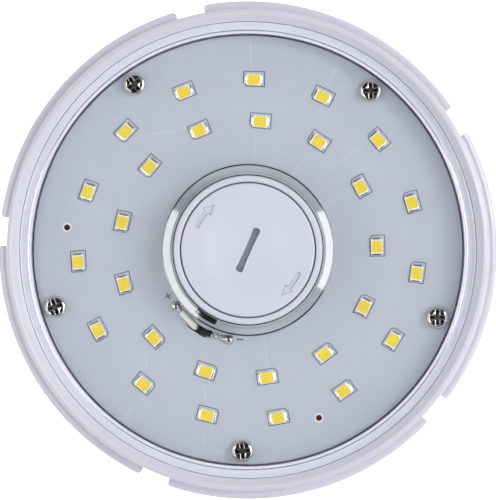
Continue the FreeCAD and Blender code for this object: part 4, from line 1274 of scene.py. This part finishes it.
@dataclass
class EndBoard:
    """The round board at the lit end with its LEDs, prints, pads and screws."""

    outer_ring_radius: float = 0.0415
    outer_ring_count: int = 15
    outer_ring_angle: float = 16.1
    inner_ring_radius: float = 0.0314
    inner_ring_count: int = 13
    inner_ring_angle: float = 1.5
    screw_circle: float = 0.0489
    first_screw_angle: float = 52.4
    print_shift: Flat = (0.00012, 0.00022)
    screw_turns: tuple[float, ...] = (2.0, 38.0, 20.0, 6.0, 0.0)
    tooling_circle: float = 0.0444
    tooling_angles: tuple[float, float] = (172.9, 292.9)
    tooling_radius: float = 0.00075
    tooling_ring: float = 0.0011
    core_wall: float = 0.00008
    # Thickness of the dark disc painted as shade at the foot of each tooling hole.
    shade_plug_depth: float = 0.0002
    mark_line: float = 0.00028
    mark_length: float = 0.0017
    plus_place: Flat = (0.02247, 210.0)
    minus_place: Flat = (0.0219, 265.0)
    gap_width: float = 0.0003
    copper_gaps: tuple[tuple[Flat, ...], ...] = (
        ((0.0200, 59.0), (0.0239, 58.9), (0.0274, 57.9)),
        ((0.0211, 44.1), (0.0254, 45.5), (0.0305, 44.6), (0.0351, 42.7), (0.0386, 41.0)),
        ((0.0209, 30.5), (0.0245, 29.6), (0.0295, 29.1)),
        ((0.0516, 89.5), (0.0478, 89.2), (0.0439, 88.8)),
        ((0.0288, 86.1), (0.0250, 86.1), (0.0211, 85.8)),
        ((0.0452, 64.2), (0.0479, 64.1), (0.0503, 64.2)),
        ((0.0388, 134.3), (0.0357, 127.2), (0.0331, 117.3)),
        ((0.0210, 281.0), (0.0245, 280.2), (0.0288, 279.3)),
        ((0.0350, 280.2), (0.0370, 280.4), (0.0390, 280.5)),
        ((0.0439, 256.9), (0.0469, 256.9), (0.0502, 257.4)),
        ((0.0345, 224.3), (0.0363, 226.9), (0.0386, 230.0)),
        ((0.0514, 233.5), (0.0492, 233.5), (0.0471, 233.6)),
        ((0.0497, 260.2), (0.0496, 262.1), (0.0493, 264.3)),
        ((0.0345, 251.5), (0.0366, 253.4), (0.0389, 254.9)),
    )

    def led_places(self) -> list[Matrix]:
        """Where each LED stands, its length along its ring.

        Returns:
            One matrix for each LED, the outer ring first.
        """
        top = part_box("end_board")[1].z
        places = []
        for radius, count, first in ((self.outer_ring_radius, self.outer_ring_count, self.outer_ring_angle),
                                     (self.inner_ring_radius, self.inner_ring_count, self.inner_ring_angle)):
            for k in range(count):
                angle = first + 360 * k / count
                places.append(Matrix.Translation(polar(radius, angle, top)) @ turn_about_axis(angle + 90))
        return places

    def build(self, workshop: Workshop) -> None:
        """Builds and dresses everything on the board.

        Args:
            workshop: Dresses the pieces and hands them to their body.
        """
        cups, gels, tabs, prints = LedPackage().row(self.led_places(), self.print_shift)
        workshop.fit(cups.build("end_led_cups"), "led_body", replaces=["end_led_frames"])
        workshop.fit(gels.build("end_led_phosphor"), "led_gel", replaces=["end_led_gels"])
        workshop.fit(tabs.build("end_led_tabs"), "solder")
        workshop.fit(prints.build("end_led_prints"), "board_mask", finishes=["dark_print"])
        self.build_gaps(workshop)
        self.build_marks(workshop)
        self.build_hole_rings(workshop)
        self.build_screws(workshop)

    def build_gaps(self, workshop: Workshop) -> None:
        """The narrow gaps between the copper areas, which show faintly through the solder mask.

        Args:
            workshop: Dresses the piece and hands it to its body.
        """
        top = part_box("end_board")[1].z + HAIR
        gaps = Draft()
        for gap in self.copper_gaps:
            sections = []
            for k, here in enumerate(gap):
                before, after = polar(*gap[max(k - 1, 0)]), polar(*gap[min(k + 1, len(gap) - 1)])
                along = (after - before).normalized()
                across = Vector((-along.y, along.x, 0)) * self.gap_width / 2
                middle, lift = polar(*here, top), Vector((0, 0, HAIR))
                sections.append([middle - across, middle + across,
                                 middle + across + lift, middle - across + lift])
            gaps.stack(sections)
        workshop.fit(gaps.build("copper_gaps"), "board_mask", finishes=["copper_gap"])

    def build_marks(self, workshop: Workshop) -> None:
        """Prints the plus and the minus beside the solder joints.

        Args:
            workshop: Dresses the piece and hands it to its body.
        """
        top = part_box("end_board")[1].z
        outline = box_outline(self.mark_length, self.mark_line, self.mark_line * 0.3)
        bar = Draft().layers([(outline, HAIR), (outline, PRINT_TOP)])
        marks = Draft()
        plus = Matrix.Translation(polar(*self.plus_place, top))
        minus = Matrix.Translation(polar(*self.minus_place, top))
        marks.take(bar, plus @ turn_about_axis(self.plus_place[1]))
        marks.take(bar, plus @ turn_about_axis(self.plus_place[1] + 90) @ Matrix.Translation((0, 0, HAIR)))
        marks.take(bar, minus @ turn_about_axis(self.minus_place[1] + 90))
        workshop.fit(marks.build("polarity_marks"), "board_mask", finishes=["dark_print"])

    def build_hole_rings(self, workshop: Workshop) -> None:
        """Rings of bare board round the tooling holes, the brown edge inside them, darkened as painted shade,
        and a dark disc at the foot of each hole, painted shade where the hole looks dark below.

        Args:
            workshop: Dresses the piece and hands it to its body.
        """
        low, high = (corner.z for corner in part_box("end_board"))
        rings, cores = Draft(), Draft()
        for angle in self.tooling_angles:
            place = Matrix.Translation(polar(self.tooling_circle, angle))
            foot, top = high + HAIR, high + PRINT_TOP
            ring = Draft().lathe([(self.tooling_radius, foot), (self.tooling_ring, foot),
                                  (self.tooling_ring, top), (self.tooling_radius, top)], SMALL_TURN)
            rings.take(ring, place)
            wall = self.tooling_radius - self.core_wall
            core = Draft().lathe([(wall, low), (self.tooling_radius - HAIR, low),
                                  (self.tooling_radius - HAIR, high), (wall, high)], SMALL_TURN)
            # A dark disc at the foot of each hole: painted shade.
            shade_plug = Draft().spun([(wall - HAIR, low), (wall - HAIR, low + self.shade_plug_depth)], SMALL_TURN)
            cores.take(core, place).take(shade_plug, place)
        workshop.fit(rings.build("tooling_hole_rings"), "board_mask", finishes=["pale_print"])
        workshop.fit(cores.build("tooling_hole_edges_and_shade"), "board_mask", finishes=["hole_core_and_shade"])

    def build_screws(self, workshop: Workshop) -> None:
        """The five screws of the end board.

        Args:
            workshop: Dresses the piece and hands it to its body.
        """
        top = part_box("end_board")[1].z
        screw = PanScrew().draft(workshop)
        screws = Draft()
        for k, turn in enumerate(self.screw_turns):
            angle = self.first_screw_angle + 360 * k / len(self.screw_turns)
            seat = Matrix.Translation(polar(self.screw_circle, angle, top))
            screws.take(screw, seat @ turn_about_axis(turn))
        workshop.fit(screws.build("end_board_screws"), "zinc_screw", replaces=["board_screws"],
                     finishes=SCREW_FINISHES)


@dataclass
class EndLens:
    """The clear lens with its outer skirt and the collar round the port."""

    collar_inner: float = 0.01825
    collar_outer: float = 0.0203
    skirt_inner: float = 0.05325
    radius: float = 0.0551
    thickness: float = 0.002
    collar_gap: float = 0.00005
    foot_gap: float = 0.00003
    bead_width: float = 0.0025
    bead_rise: float = 0.00032
    bead_crest: float = 0.0005
    bead_easing: float = 0.0012
    edge_rounding: float = 0.0005
    collar_rounding: float = 0.0008
    small_rounding: float = 0.0002
    steps: int = 384
    crisp_edge: float = 14.0

    def build(self, workshop: Workshop) -> None:
        """Builds the lens finer than its solid.

        Args:
            workshop: Dresses the lens and hands it to its body.
        """
        foot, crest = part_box("lens_outer_gasket")[1].z + self.foot_gap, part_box("lens")[1].z
        top = crest - self.bead_rise
        under = top - self.thickness
        collar_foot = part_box("end_board")[1].z + self.collar_gap
        small = self.small_rounding
        outline = rounded([
            (self.collar_inner, collar_foot, small), (self.collar_outer, collar_foot, small),
            (self.collar_outer, under, self.collar_rounding), (self.skirt_inner, under, small),
            (self.skirt_inner, foot, small), (self.radius, foot, small),
            (self.radius, top, self.edge_rounding),
            (self.collar_inner + self.bead_width, top, self.bead_easing),
            (self.collar_inner + self.bead_crest, crest, self.bead_easing),
            (self.collar_inner, crest, small),
        ], 8)
        lens = Draft().lathe(outline, self.steps)
        lens.tones = [int(min(lens.points[n].z for n in face) > top - HAIR / 10
                          and max(lens.points[n].xy.length for n in face) < self.radius / 2)
                      for face in lens.faces]
        workshop.fit(lens.build("end_lens", self.crisp_edge), "clear_lens", replaces=["lens"],
                     finishes=["clear_lens", "clear_bead"])


@dataclass
class AccessoryPort:
    """The port in the middle of the lit end: tube, socket contacts, seal and screw cap."""

    radius: float = 0.018
    rim_inner: float = 0.01645
    bore: float = 0.0142
    flange_radius: float = 0.021
    flange_thickness: float = 0.003
    flange_drop: float = 0.01165
    floor: float = 0.002
    ledge_depth: float = 0.0034
    rim_rounding: float = 0.0005
    small_rounding: float = 0.0003
    # How far below the rim the painted shade on the tube's wall reaches.
    shade_drop: float = 0.0012
    lead_hole: Flat = (0.0048, 0.0024)
    cap_radius: float = 0.01615
    cap_thickness: float = 0.0024
    cap_rounding: float = 0.0005
    skirt_outer: float = 0.0136
    skirt_wall: float = 0.002
    gasket_gap: float = 0.00005
    dish_radius: float = 0.0114
    dish_depth: float = 0.0009
    dish_land: float = 0.0016
    dish_steps: int = 8
    slot_level: float = 0.85
    slot_length: float = 0.0111
    slot_width: float = 0.0015
    slot_rounding: float = 0.3
    slot_depth: float = 0.0012
    slot_angle: float = 66.0
    slot_easing: float = 0.00018
    arrow_radius: float = 0.0135
    arrow_tail: float = 156.0
    arrow_sweep: float = 19.0
    arrow_head_sweep: float = 10.0
    arrow_stroke: float = 0.00085
    arrow_head: float = 0.0023
    arrow_depth: float = 0.0004
    arrow_easing: float = 0.00016
    thread_pitch: float = 0.002
    thread_height: float = 0.00042
    bore_turns: float = 4.0
    bore_thread_drop: float = 0.0134
    cap_turns: float = 2.2
    cap_thread_rise: float = 0.0008
    socket_pin_circle: float = 0.005
    socket_pin_radius: float = 0.001
    socket_pin_count: int = 4
    sleeve_wall: float = 0.00015
    cap_finishes: tuple[str, ...] = ("white_port", "slot_shade", "arrow_shade")

    def build(self, workshop: Workshop) -> None:
        """Builds and dresses the port's pieces.

        Args:
            workshop: Dresses the pieces and hands them to their bodies.
        """
        self.build_tube(workshop)
        self.build_cap(workshop)
        self.build_contacts(workshop)

    def build_tube(self, workshop: Workshop) -> None:
        """The tube with its rim, ledge, threaded bore, floor and flange.

        Args:
            workshop: Dresses the piece and hands it to its body.
        """
        foot, top = (corner.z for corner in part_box("port_tube"))
        ledge = top - self.ledge_depth
        floor_top = foot + self.floor
        flange_top = top - self.flange_drop
        flange_foot = flange_top - self.flange_thickness
        small = self.small_rounding
        loop = rounded([
            (LID_RADIUS, foot, 0), (self.radius, foot, small), (self.radius, flange_foot, 0),
            (self.flange_radius, flange_foot, small), (self.flange_radius, flange_top, small),
            (self.radius, flange_top, 0), (self.radius, top - self.shade_drop - HAIR, 0),
            (self.radius, top, self.rim_rounding),
            (self.rim_inner, top, self.rim_rounding), (self.rim_inner, ledge, 0), (self.bore, ledge, small),
            (self.bore, floor_top, small), (LID_RADIUS, floor_top, 0),
        ], 8)
        tube = Draft().spun(loop).build("port_body")
        slot = box_outline(*self.lead_hole, self.lead_hole[1] * self.slot_rounding)
        hole = Draft().layers([(slot, foot - self.floor), (slot, floor_top + self.floor)])
        tube = carve(tube, hole.build("lead_hole_cutter"))
        thread = Draft().thread(self.bore + HAIR, self.bore - self.thread_height, self.thread_pitch,
                                self.bore_turns, top - self.bore_thread_drop, THREAD_TURN)
        body = self.with_painted_shade(drafted(tube), flange_top, top - self.shade_drop).take(thread).build("port_body")
        workshop.fit(body, "white_port", replaces=["port_tube"], finishes=["white_port", "port_painted_shade"])

    def with_painted_shade(self, tube: Draft, low: float, high: float) -> Draft:
        """The tube with tone 1, painted shade, on its wall and the top of its flange under the board, where
        the slit round the port lies in shadow.

        Args:
            tube: The tube's draft.
            low: Height of the flange's top.
            high: Height that the painted shade reaches on the wall.

        Returns:
            The same draft.
        """
        for k, face in enumerate(tube.faces):
            middle = sum((tube.points[n] for n in face), Vector()) / len(face)
            if low - HAIR < middle.z and max(tube.points[n].z for n in face) < high \
                    and middle.xy.length > self.radius - HAIR:
                tube.tones[k] = 1
        return tube

    def arrow_outline(self) -> list[Flat]:
        """One curved arrow that points clockwise.

        Returns:
            The points of its outline, anticlockwise.
        """
        start = self.arrow_tail - self.arrow_sweep
        inner, outer = self.arrow_radius - self.arrow_stroke / 2, self.arrow_radius + self.arrow_stroke / 2
        steps = 10
        points = [polar(self.arrow_radius, start - self.arrow_head_sweep),
                  polar(self.arrow_radius + self.arrow_head / 2, start)]
        points += [polar(outer, start + self.arrow_sweep * k / steps) for k in range(steps + 1)]
        points += [polar(inner, start + self.arrow_sweep * (1 - k / steps)) for k in range(steps + 1)]
        points.append(polar(self.arrow_radius - self.arrow_head / 2, start))
        return [(p.x, p.y) for p in points]

    def build_cap(self, workshop: Workshop) -> None:
        """The cap with its dished face, coin slot, arrows, skirt and thread.

        Args:
            workshop: Dresses the piece and hands it to its body.
        """
        foot, top = (corner.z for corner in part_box("port_cap"))
        under = top - self.cap_thickness
        inner = self.skirt_outer - self.skirt_wall
        small = self.small_rounding
        loop = rounded([
            (LID_RADIUS, under, 0), (inner, under, small), (inner, foot, small),
            (self.skirt_outer, foot, small),
            (self.skirt_outer, under, 0), (self.cap_radius, under, small),
            (self.cap_radius, top, self.cap_rounding), (self.dish_radius + self.dish_land, top, 0),
        ], 8)
        for k in range(self.dish_steps):
            radius = self.dish_radius * (1 - k / self.dish_steps)
            loop.append((radius, top - self.dish_depth * (1 - (radius / self.dish_radius) ** 2)))
        cap = workshop.dress(Draft().spun(loop).build("port_cap_body"), self.cap_finishes)
        dish_floor = top - self.dish_depth * self.slot_level
        slot = box_outline(self.slot_length, self.slot_width, self.slot_width * self.slot_rounding, 4)
        wall = easing_cutter(slot, dish_floor, self.slot_depth, self.slot_easing)
        wall.tones = [1] * len(wall.tones)
        arrow = easing_cutter(self.arrow_outline(), top, self.arrow_depth, self.arrow_easing)
        arrow.tones[:-2] = [2] * (len(arrow.tones) - 2)
        for cut, angle in ((wall, self.slot_angle), (arrow, 0), (arrow, 180)):
            cutter = Draft().take(cut, turn_about_axis(angle)).build("cap_cutter")
            cap = carve(cap, workshop.dress(cutter, self.cap_finishes))
        thread = Draft().thread(self.skirt_outer - HAIR, self.skirt_outer + self.thread_height,
                                self.thread_pitch, self.cap_turns, foot + self.cap_thread_rise, THREAD_TURN)
        workshop.fit(drafted(cap).take(thread).build("port_cap_body"), "white_port", Body.CAP, ["port_cap"],
                     self.cap_finishes)
        gasket_low, gasket_high = (corner.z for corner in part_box("cap_gasket"))
        hole = self.bore + self.gasket_gap
        gasket = rounded([(hole, gasket_low, small), (self.cap_radius, gasket_low, small),
                          (self.cap_radius, gasket_high, small), (hole, gasket_high, small)], 4)
        workshop.fit(Draft().lathe(gasket).build("cap_seal"), "grey_rubber", Body.LIFTER, ["cap_gasket"])

    def build_contacts(self, workshop: Workshop) -> None:
        """The spring sleeves in the socket's pin holes.

        Args:
            workshop: Dresses the piece and hands it to its body.
        """
        low, high = (corner.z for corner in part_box("port_socket"))
        middle = (low + high) / 2
        outer = self.socket_pin_radius - HAIR
        inner, foot, top = outer - self.sleeve_wall, middle + HAIR, high - self.sleeve_wall
        sleeve = Draft().lathe([(inner, foot), (outer, foot), (outer, top), (inner, top)], SMALL_TURN)
        sleeves = Draft()
        for k in range(self.socket_pin_count):
            sleeves.take(sleeve, Matrix.Translation(polar(self.socket_pin_circle, 45 + 90 * k)))
        workshop.fit(sleeves.build("socket_contacts"), "tinned_brass")


@dataclass
class SupplyJoints:
    """The solder, strands and pads where the two supply wires meet the end board."""

    slot_angle: float = 237.8
    slot_radius: float = 0.02275
    joint_inset: float = 0.00045
    joint_angle: float = 20.0
    pair_spacing: float = 0.002
    wire_radius: float = 0.0008
    joint_radius: float = 0.00135
    joint_height: float = 0.00145
    bare_lengths: Flat = (0.00195, 0.0044)
    drawn_out: Flat = (0.35, 0.95)
    lump_share: float = 0.05
    crisp_edge: float = 60.0
    strand_radius: float = 0.00018
    strand_count: int = 6
    strand_spread: Flat = (1.6, 0.5)
    strand_twist: float = 0.5
    pad_radius: float = 0.00142
    pad_height: float = 0.00004

    def build(self, workshop: Workshop) -> None:
        """Builds both joints.

        Args:
            workshop: Dresses the pieces and hands them to their body.
        """
        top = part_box("end_board")[1].z
        metal, pads = Draft(), Draft()
        for side, bare, drawn in zip(Side, self.bare_lengths, self.drawn_out):
            angle = self.slot_angle + side.value * self.joint_angle
            centre = polar(self.slot_radius - self.joint_inset, angle, top)
            along = polar(side.value * self.pair_spacing / 2, self.slot_angle + 90)
            rising = polar(self.slot_radius, self.slot_angle, top) + along
            back = (rising - centre).normalized()
            metal.take(self.blob(centre, back, drawn))
            metal.take(self.strands(centre, back, bare))
            ring = circle_outline(self.pad_radius, SMALL_TURN)
            pads.take(Draft().layers([(ring, HAIR), (ring, self.pad_height)]), Matrix.Translation(centre))
        workshop.fit(metal.build("solder_blobs", self.crisp_edge), "solder", replaces=["solder_joints"])
        workshop.fit(pads.build("solder_pads"), "solder", finishes=["tinned_pad"])

    def blob(self, centre: Vector, back: Vector, drawn_out: float) -> Draft:
        """A drop of solder drawn out towards its wire.

        Args:
            centre: The middle of the joint on the board.
            back: The direction towards the wire.
            drawn_out: How much further the drop reaches that way, as a share of its radius.

        Returns:
            The drop's draft.
        """
        across = Vector((-back.y, back.x, 0))
        sections = []
        steps = 9
        for k in range(steps):
            share = math.sin(math.pi / 2 * k / (steps - 1))
            reach = self.joint_radius * math.cos(math.pi / 2 * k / steps)
            height = self.joint_height * share
            ring = []
            for s in range(SMALL_TURN):
                turn = 2 * math.pi * s / SMALL_TURN
                drawn = 1 + drawn_out * max(math.cos(turn), 0) ** 3 * (1 - share * 0.5)
                lump = 1 + self.lump_share * math.sin(3 * turn + 5 * share)
                ring.append(centre + back * (math.cos(turn) * reach * drawn * lump)
                            + across * (math.sin(turn) * reach * lump) + Vector((0, 0, HAIR + height)))
            sections.append(ring)
        return Draft().stack(sections)

    def strands(self, centre: Vector, back: Vector, bare: float) -> Draft:
        """The twisted strands between the wire's jacket and the solder.

        Args:
            centre: The middle of the joint on the board.
            back: The direction towards the wire.
            bare: How far from the middle of the joint the jacket ends.

        Returns:
            The strands' draft.
        """
        draft = Draft()
        across = Vector((-back.y, back.x, 0))
        start = self.joint_radius * 0.5
        end = bare + self.strand_radius
        loose, splay = self.strand_spread
        steps = 10
        for strand in range(self.strand_count):
            path = []
            for k in range(steps + 1):
                share = k / steps
                turn = 2 * math.pi * (strand / self.strand_count + self.strand_twist * share)
                spread = self.strand_radius * (loose + splay * share)
                height = self.wire_radius + math.sin(turn) * spread
                path.append(centre + back * (start + (end - start) * share)
                            + across * (math.cos(turn) * spread) + Vector((0, 0, height)))
            draft.tube(path, self.strand_radius, 8)
        return draft


@dataclass
class LightModule:
    """One of the five side modules: sink, three strips with their LEDs, screws and cover."""

    number: int
    first_angle: float = 67.65
    pitch: float = 72.0
    facet_angle: float = 20.577
    strip_face: float = 0.0549
    strip_count: int = 3
    led_count: int = 14
    led_pitch: float = 0.0098
    screw_inset: float = 0.0038
    screw: PanScrew = PanScrew(
        head_radius=0.0019, head_height=0.0013, head_rounding=0.0006, recess_length=0.0025,
        recess_width=0.0007, recess_depth=0.0008, shank_radius=0.00095, thread_depth=0.00015,
        thread_pitch=0.0004, length=0.003,
    )

    def strip_places(self, heights: Sequence[float]) -> list[Matrix]:
        """Where pieces stand on the strips at these heights, their tops outwards and their length upright.

        Args:
            heights: Heights above the lamp's tip.

        Returns:
            One matrix for each strip and height.
        """
        middle = self.first_angle + self.pitch * (self.number - 1)
        upright = Matrix.Rotation(math.radians(90), 4, "Y")
        return [turn_about_axis(middle + (k - (self.strip_count - 1) / 2) * self.facet_angle)
                @ Matrix.Translation((self.strip_face, 0, z)) @ upright
                for k in range(self.strip_count) for z in heights]

    def build(self, workshop: Workshop) -> None:
        """Builds the fine pieces of the module.

        Args:
            workshop: Dresses the pieces and hands them to their body.
        """
        low, high = (corner.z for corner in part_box(f"side_sink_{self.number}"))
        middle = (low + high) / 2
        heights = [middle + (k - (self.led_count - 1) / 2) * self.led_pitch for k in range(self.led_count)]
        cups, gels, tabs, prints = LedPackage().row(self.strip_places(heights))
        n = self.number
        workshop.fit(cups.build(f"strip_led_cups_{n}"), "led_body", replaces=[f"strip_leds_{n}"])
        workshop.fit(gels.build(f"strip_led_phosphor_{n}"), "led_gel")
        workshop.fit(tabs.build(f"strip_led_tabs_{n}"), "solder")
        workshop.fit(prints.build(f"strip_led_prints_{n}"), "strip_mask", finishes=["dark_print"])
        body = self.screw.draft(workshop)
        screws = Draft()
        for place in self.strip_places([low + self.screw_inset, high - self.screw_inset]):
            screws.take(body, place)
        workshop.fit(screws.build(f"strip_fixings_{n}"), "zinc_screw", replaces=[f"strip_screws_{n}"],
                     finishes=SCREW_FINISHES)


@dataclass
class LowerBody:
    """The frame under the modules, with the screws that hold it and the sinks."""

    screw_circle: float = 0.0489
    screw_count: int = 5
    first_screw_angle: float = 52.4
    inner_circle: float = 0.034
    inner_count: int = 3
    first_inner_angle: float = 103.65
    through: float = 0.014
    inner_through: float = 0.01385
    turn_step: float = 50.0
    inner_turn_step: float = 30.0

    def build(self, workshop: Workshop) -> None:
        """Builds the screws of the lower frame.

        Args:
            workshop: Dresses the pieces and hands them to their body.
        """
        sink_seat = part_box("driver_housing")[1].z
        plate_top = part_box("base_plate")[1].z
        below = PanScrew(length=self.through).draft(workshop)
        above = PanScrew(length=self.inner_through).draft(workshop)
        screws = Draft()
        for k in range(self.screw_count):
            angle = self.first_screw_angle + 360 * k / self.screw_count
            screws.take(below, Matrix.Translation(polar(self.screw_circle, angle, sink_seat))
                        @ Matrix.Rotation(math.pi, 4, "X") @ turn_about_axis(self.turn_step * k))
        workshop.fit(screws.build("sink_fixings"), "zinc_screw", replaces=["sink_screws"],
                     finishes=SCREW_FINISHES)
        inner = Draft()
        for k in range(self.inner_count):
            angle = self.first_inner_angle + 360 * k / self.inner_count
            inner.take(above, Matrix.Translation(polar(self.inner_circle, angle, plate_top))
                       @ turn_about_axis(self.inner_turn_step * k))
        workshop.fit(inner.build("frame_fixings"), "zinc_screw", replaces=["lower_screws"],
                     finishes=SCREW_FINISHES)


@dataclass(frozen=True)
class SoftLight:
    """A rectangular soft light that faces the lit end."""

    name: str
    place: Corner
    size: Flat
    power: float
    colour: Colour = tint(255, 255, 255)

    def hang(self, target: Vector) -> None:
        """Hangs the light in the scene.

        Args:
            target: The point that it faces.
        """
        lamp = bpy.data.lights.new(self.name, "AREA")
        lamp.shape = "RECTANGLE"
        lamp.size, lamp.size_y = self.size
        lamp.energy = self.power
        lamp.color = self.colour[:3]
        light = bpy.data.objects.new(self.name, lamp)
        light.location = self.place
        light.rotation_mode = "QUATERNION"
        light.rotation_quaternion = (target - Vector(self.place)).to_track_quat("-Z", "Y")
        bpy.context.scene.collection.objects.link(light)


@dataclass
class Studio:
    """The plain pale floor, the soft lights, the world and the camera."""

    shown_height: float = 0.1208
    view_distance: float = 0.75
    sensor: float = 36.0
    near_and_far: Flat = (0.05, 50.0)
    floor_size: float = 6.0
    lamp_centre: Flat = (0.0, 0.0)
    fill: float = 0.54
    fill_colour: Colour = tint(207, 207, 212)
    backdrop: tuple[float, Colour] = (0.3, tint(255, 255, 255))
    walls: tuple[float, Colour] = (0.62, tint(150, 150, 172))
    ceiling: tuple[float, Colour] = (0.86, tint(22, 22, 26))
    floor_colour: Colour = tint(238, 238, 241)
    floor_glow: float = 0.72
    light_target: float = 0.24
    lights: tuple[SoftLight, ...] = (
        SoftLight("key", (0.9, 0.26, 1.15), (0.4, 0.4), 3.6),
        SoftLight("left", (-1.0, -0.06, 0.85), (1.1, 0.4), 2.5),
        SoftLight("right", (0.96, -0.28, 0.85), (1.2, 0.4), 3.4),
        SoftLight("upper_left", (-0.37, -0.08, 1.28), (0.55, 0.18), 1.8),
        SoftLight("upper_right", (0.38, 0.0, 1.28), (0.36, 0.18), 1.2),
    )

    def build_camera(self) -> None:
        """The camera straight above the lit end, with +Y up in the picture."""
        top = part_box("end_frame")[1].z
        camera = bpy.data.cameras.new("camera")
        camera.sensor_width = self.sensor
        camera.lens = self.sensor * self.view_distance / self.shown_height
        camera.clip_start, camera.clip_end = self.near_and_far
        view = bpy.data.objects.new("camera", camera)
        view.location = (self.lamp_centre[0], self.lamp_centre[1], top + self.view_distance)
        bpy.context.scene.collection.objects.link(view)
        bpy.context.scene.camera = view

    def build_floor(self) -> None:
        """A wide pale floor that the camera sees as white and that keeps the lamp's shadow."""
        half = self.floor_size / 2
        floor = Draft()
        floor.face(floor.ring([(-half, -half, 0), (half, -half, 0), (half, half, 0), (-half, half, 0)]))
        piece = floor.build("floor")
        shader = Shader("floor")
        paper = shader.add("ShaderNodeBsdfDiffuse", Color=self.floor_colour)
        glow = shader.add("ShaderNodeEmission", Color=(1, 1, 1, 1), Strength=self.floor_glow)
        both = shader.add("ShaderNodeAddShader")
        shader.feed(both.inputs[0], paper.outputs[0])
        shader.feed(both.inputs[1], glow.outputs[0])
        mixed = shader.add("ShaderNodeMixShader")
        shader.feed(mixed.inputs[0], self.seen(shader))
        shader.feed(mixed.inputs[1], paper.outputs[0])
        shader.feed(mixed.inputs[2], both.outputs[0])
        shader.feed(shader.output.inputs["Surface"], mixed.outputs[0])
        piece.data.materials.append(shader.material)

    @staticmethod
    def seen(shader: Shader) -> bpy.types.NodeSocket:
        """Tells the rays that show a thing from the light that falls on things.

        Args:
            shader: The material that asks.

        Returns:
            1 for rays from the camera, by way of gloss or glass too, and 0 for others.
        """
        rays = shader.add("ShaderNodeLightPath")
        straight = shader.math("MAXIMUM", rays.outputs["Is Camera Ray"], rays.outputs["Is Transmission Ray"])
        return shader.math("MAXIMUM", straight, rays.outputs["Is Glossy Ray"])

    def build_world(self) -> None:
        """White for the camera, soft and pale as light, and a room with a dark ceiling in reflections."""
        world = bpy.data.worlds.new("studio")
        world.use_nodes = True
        bpy.context.scene.world = world
        tree = world.node_tree
        tree.nodes.clear()
        output = tree.nodes.new("ShaderNodeOutputWorld")
        rays = tree.nodes.new("ShaderNodeLightPath").outputs
        heading = tree.nodes.new("ShaderNodeSeparateXYZ")
        tree.links.new(tree.nodes.new("ShaderNodeTexCoord").outputs["Generated"], heading.inputs[0])
        room = tree.nodes.new("ShaderNodeValToRGB")
        room.color_ramp.elements[0].position, room.color_ramp.elements[0].color = self.backdrop
        room.color_ramp.elements[1].position, room.color_ramp.elements[1].color = self.ceiling
        middle = room.color_ramp.elements.new(self.walls[0])
        middle.color = self.walls[1]
        tree.links.new(heading.outputs["Z"], room.inputs[0])
        soft = tree.nodes.new("ShaderNodeBackground")
        soft.inputs["Color"].default_value = self.fill_colour
        soft.inputs["Strength"].default_value = self.fill
        mirrored = tree.nodes.new("ShaderNodeBackground")
        tree.links.new(room.outputs["Color"], mirrored.inputs["Color"])
        white = tree.nodes.new("ShaderNodeBackground")
        white.inputs["Color"].default_value = (1, 1, 1, 1)
        through = tree.nodes.new("ShaderNodeMath")
        through.operation = "MAXIMUM"
        tree.links.new(rays["Is Glossy Ray"], through.inputs[0])
        tree.links.new(rays["Is Transmission Ray"], through.inputs[1])
        inner = self.mix(tree, through.outputs[0], soft.outputs[0], mirrored.outputs[0])
        whole = self.mix(tree, rays["Is Camera Ray"], inner, white.outputs[0])
        tree.links.new(whole, output.inputs["Surface"])

    @staticmethod
    def mix(tree: bpy.types.NodeTree, share: bpy.types.NodeSocket, first: bpy.types.NodeSocket,
            second: bpy.types.NodeSocket) -> bpy.types.NodeSocket:
        """Mixes two lights of the world.

        Args:
            tree: The world's node tree.
            share: 0 for the first light, 1 for the second.
            first: The first light.
            second: The second light.

        Returns:
            The mixed light.
        """
        node = tree.nodes.new("ShaderNodeMixShader")
        for socket, value in zip(node.inputs, (share, first, second)):
            tree.links.new(value, socket)
        return node.outputs[0]

    def build(self) -> None:
        """Builds the camera, floor, world and lights."""
        self.build_camera()
        self.build_floor()
        self.build_world()
        for light in self.lights:
            light.hang(Vector((0, 0, self.light_target)))
        bpy.context.scene.view_settings.view_transform = "Standard"


def main() -> None:
    """Builds every sub-assembly in order and reports each piece."""
    logging.basicConfig(level=logging.INFO, format="%(message)s")
    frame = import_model()
    workshop = Workshop(frame)
    Studio().build()
    workshop.dress_nodes()
    EndBoard().build(workshop)
    EndLens().build(workshop)
    AccessoryPort().build(workshop)
    SupplyJoints().build(workshop)
    LowerBody().build(workshop)
    for number in range(1, 6):
        LightModule(number).build(workshop)


if __name__ == "__main__":
    main()
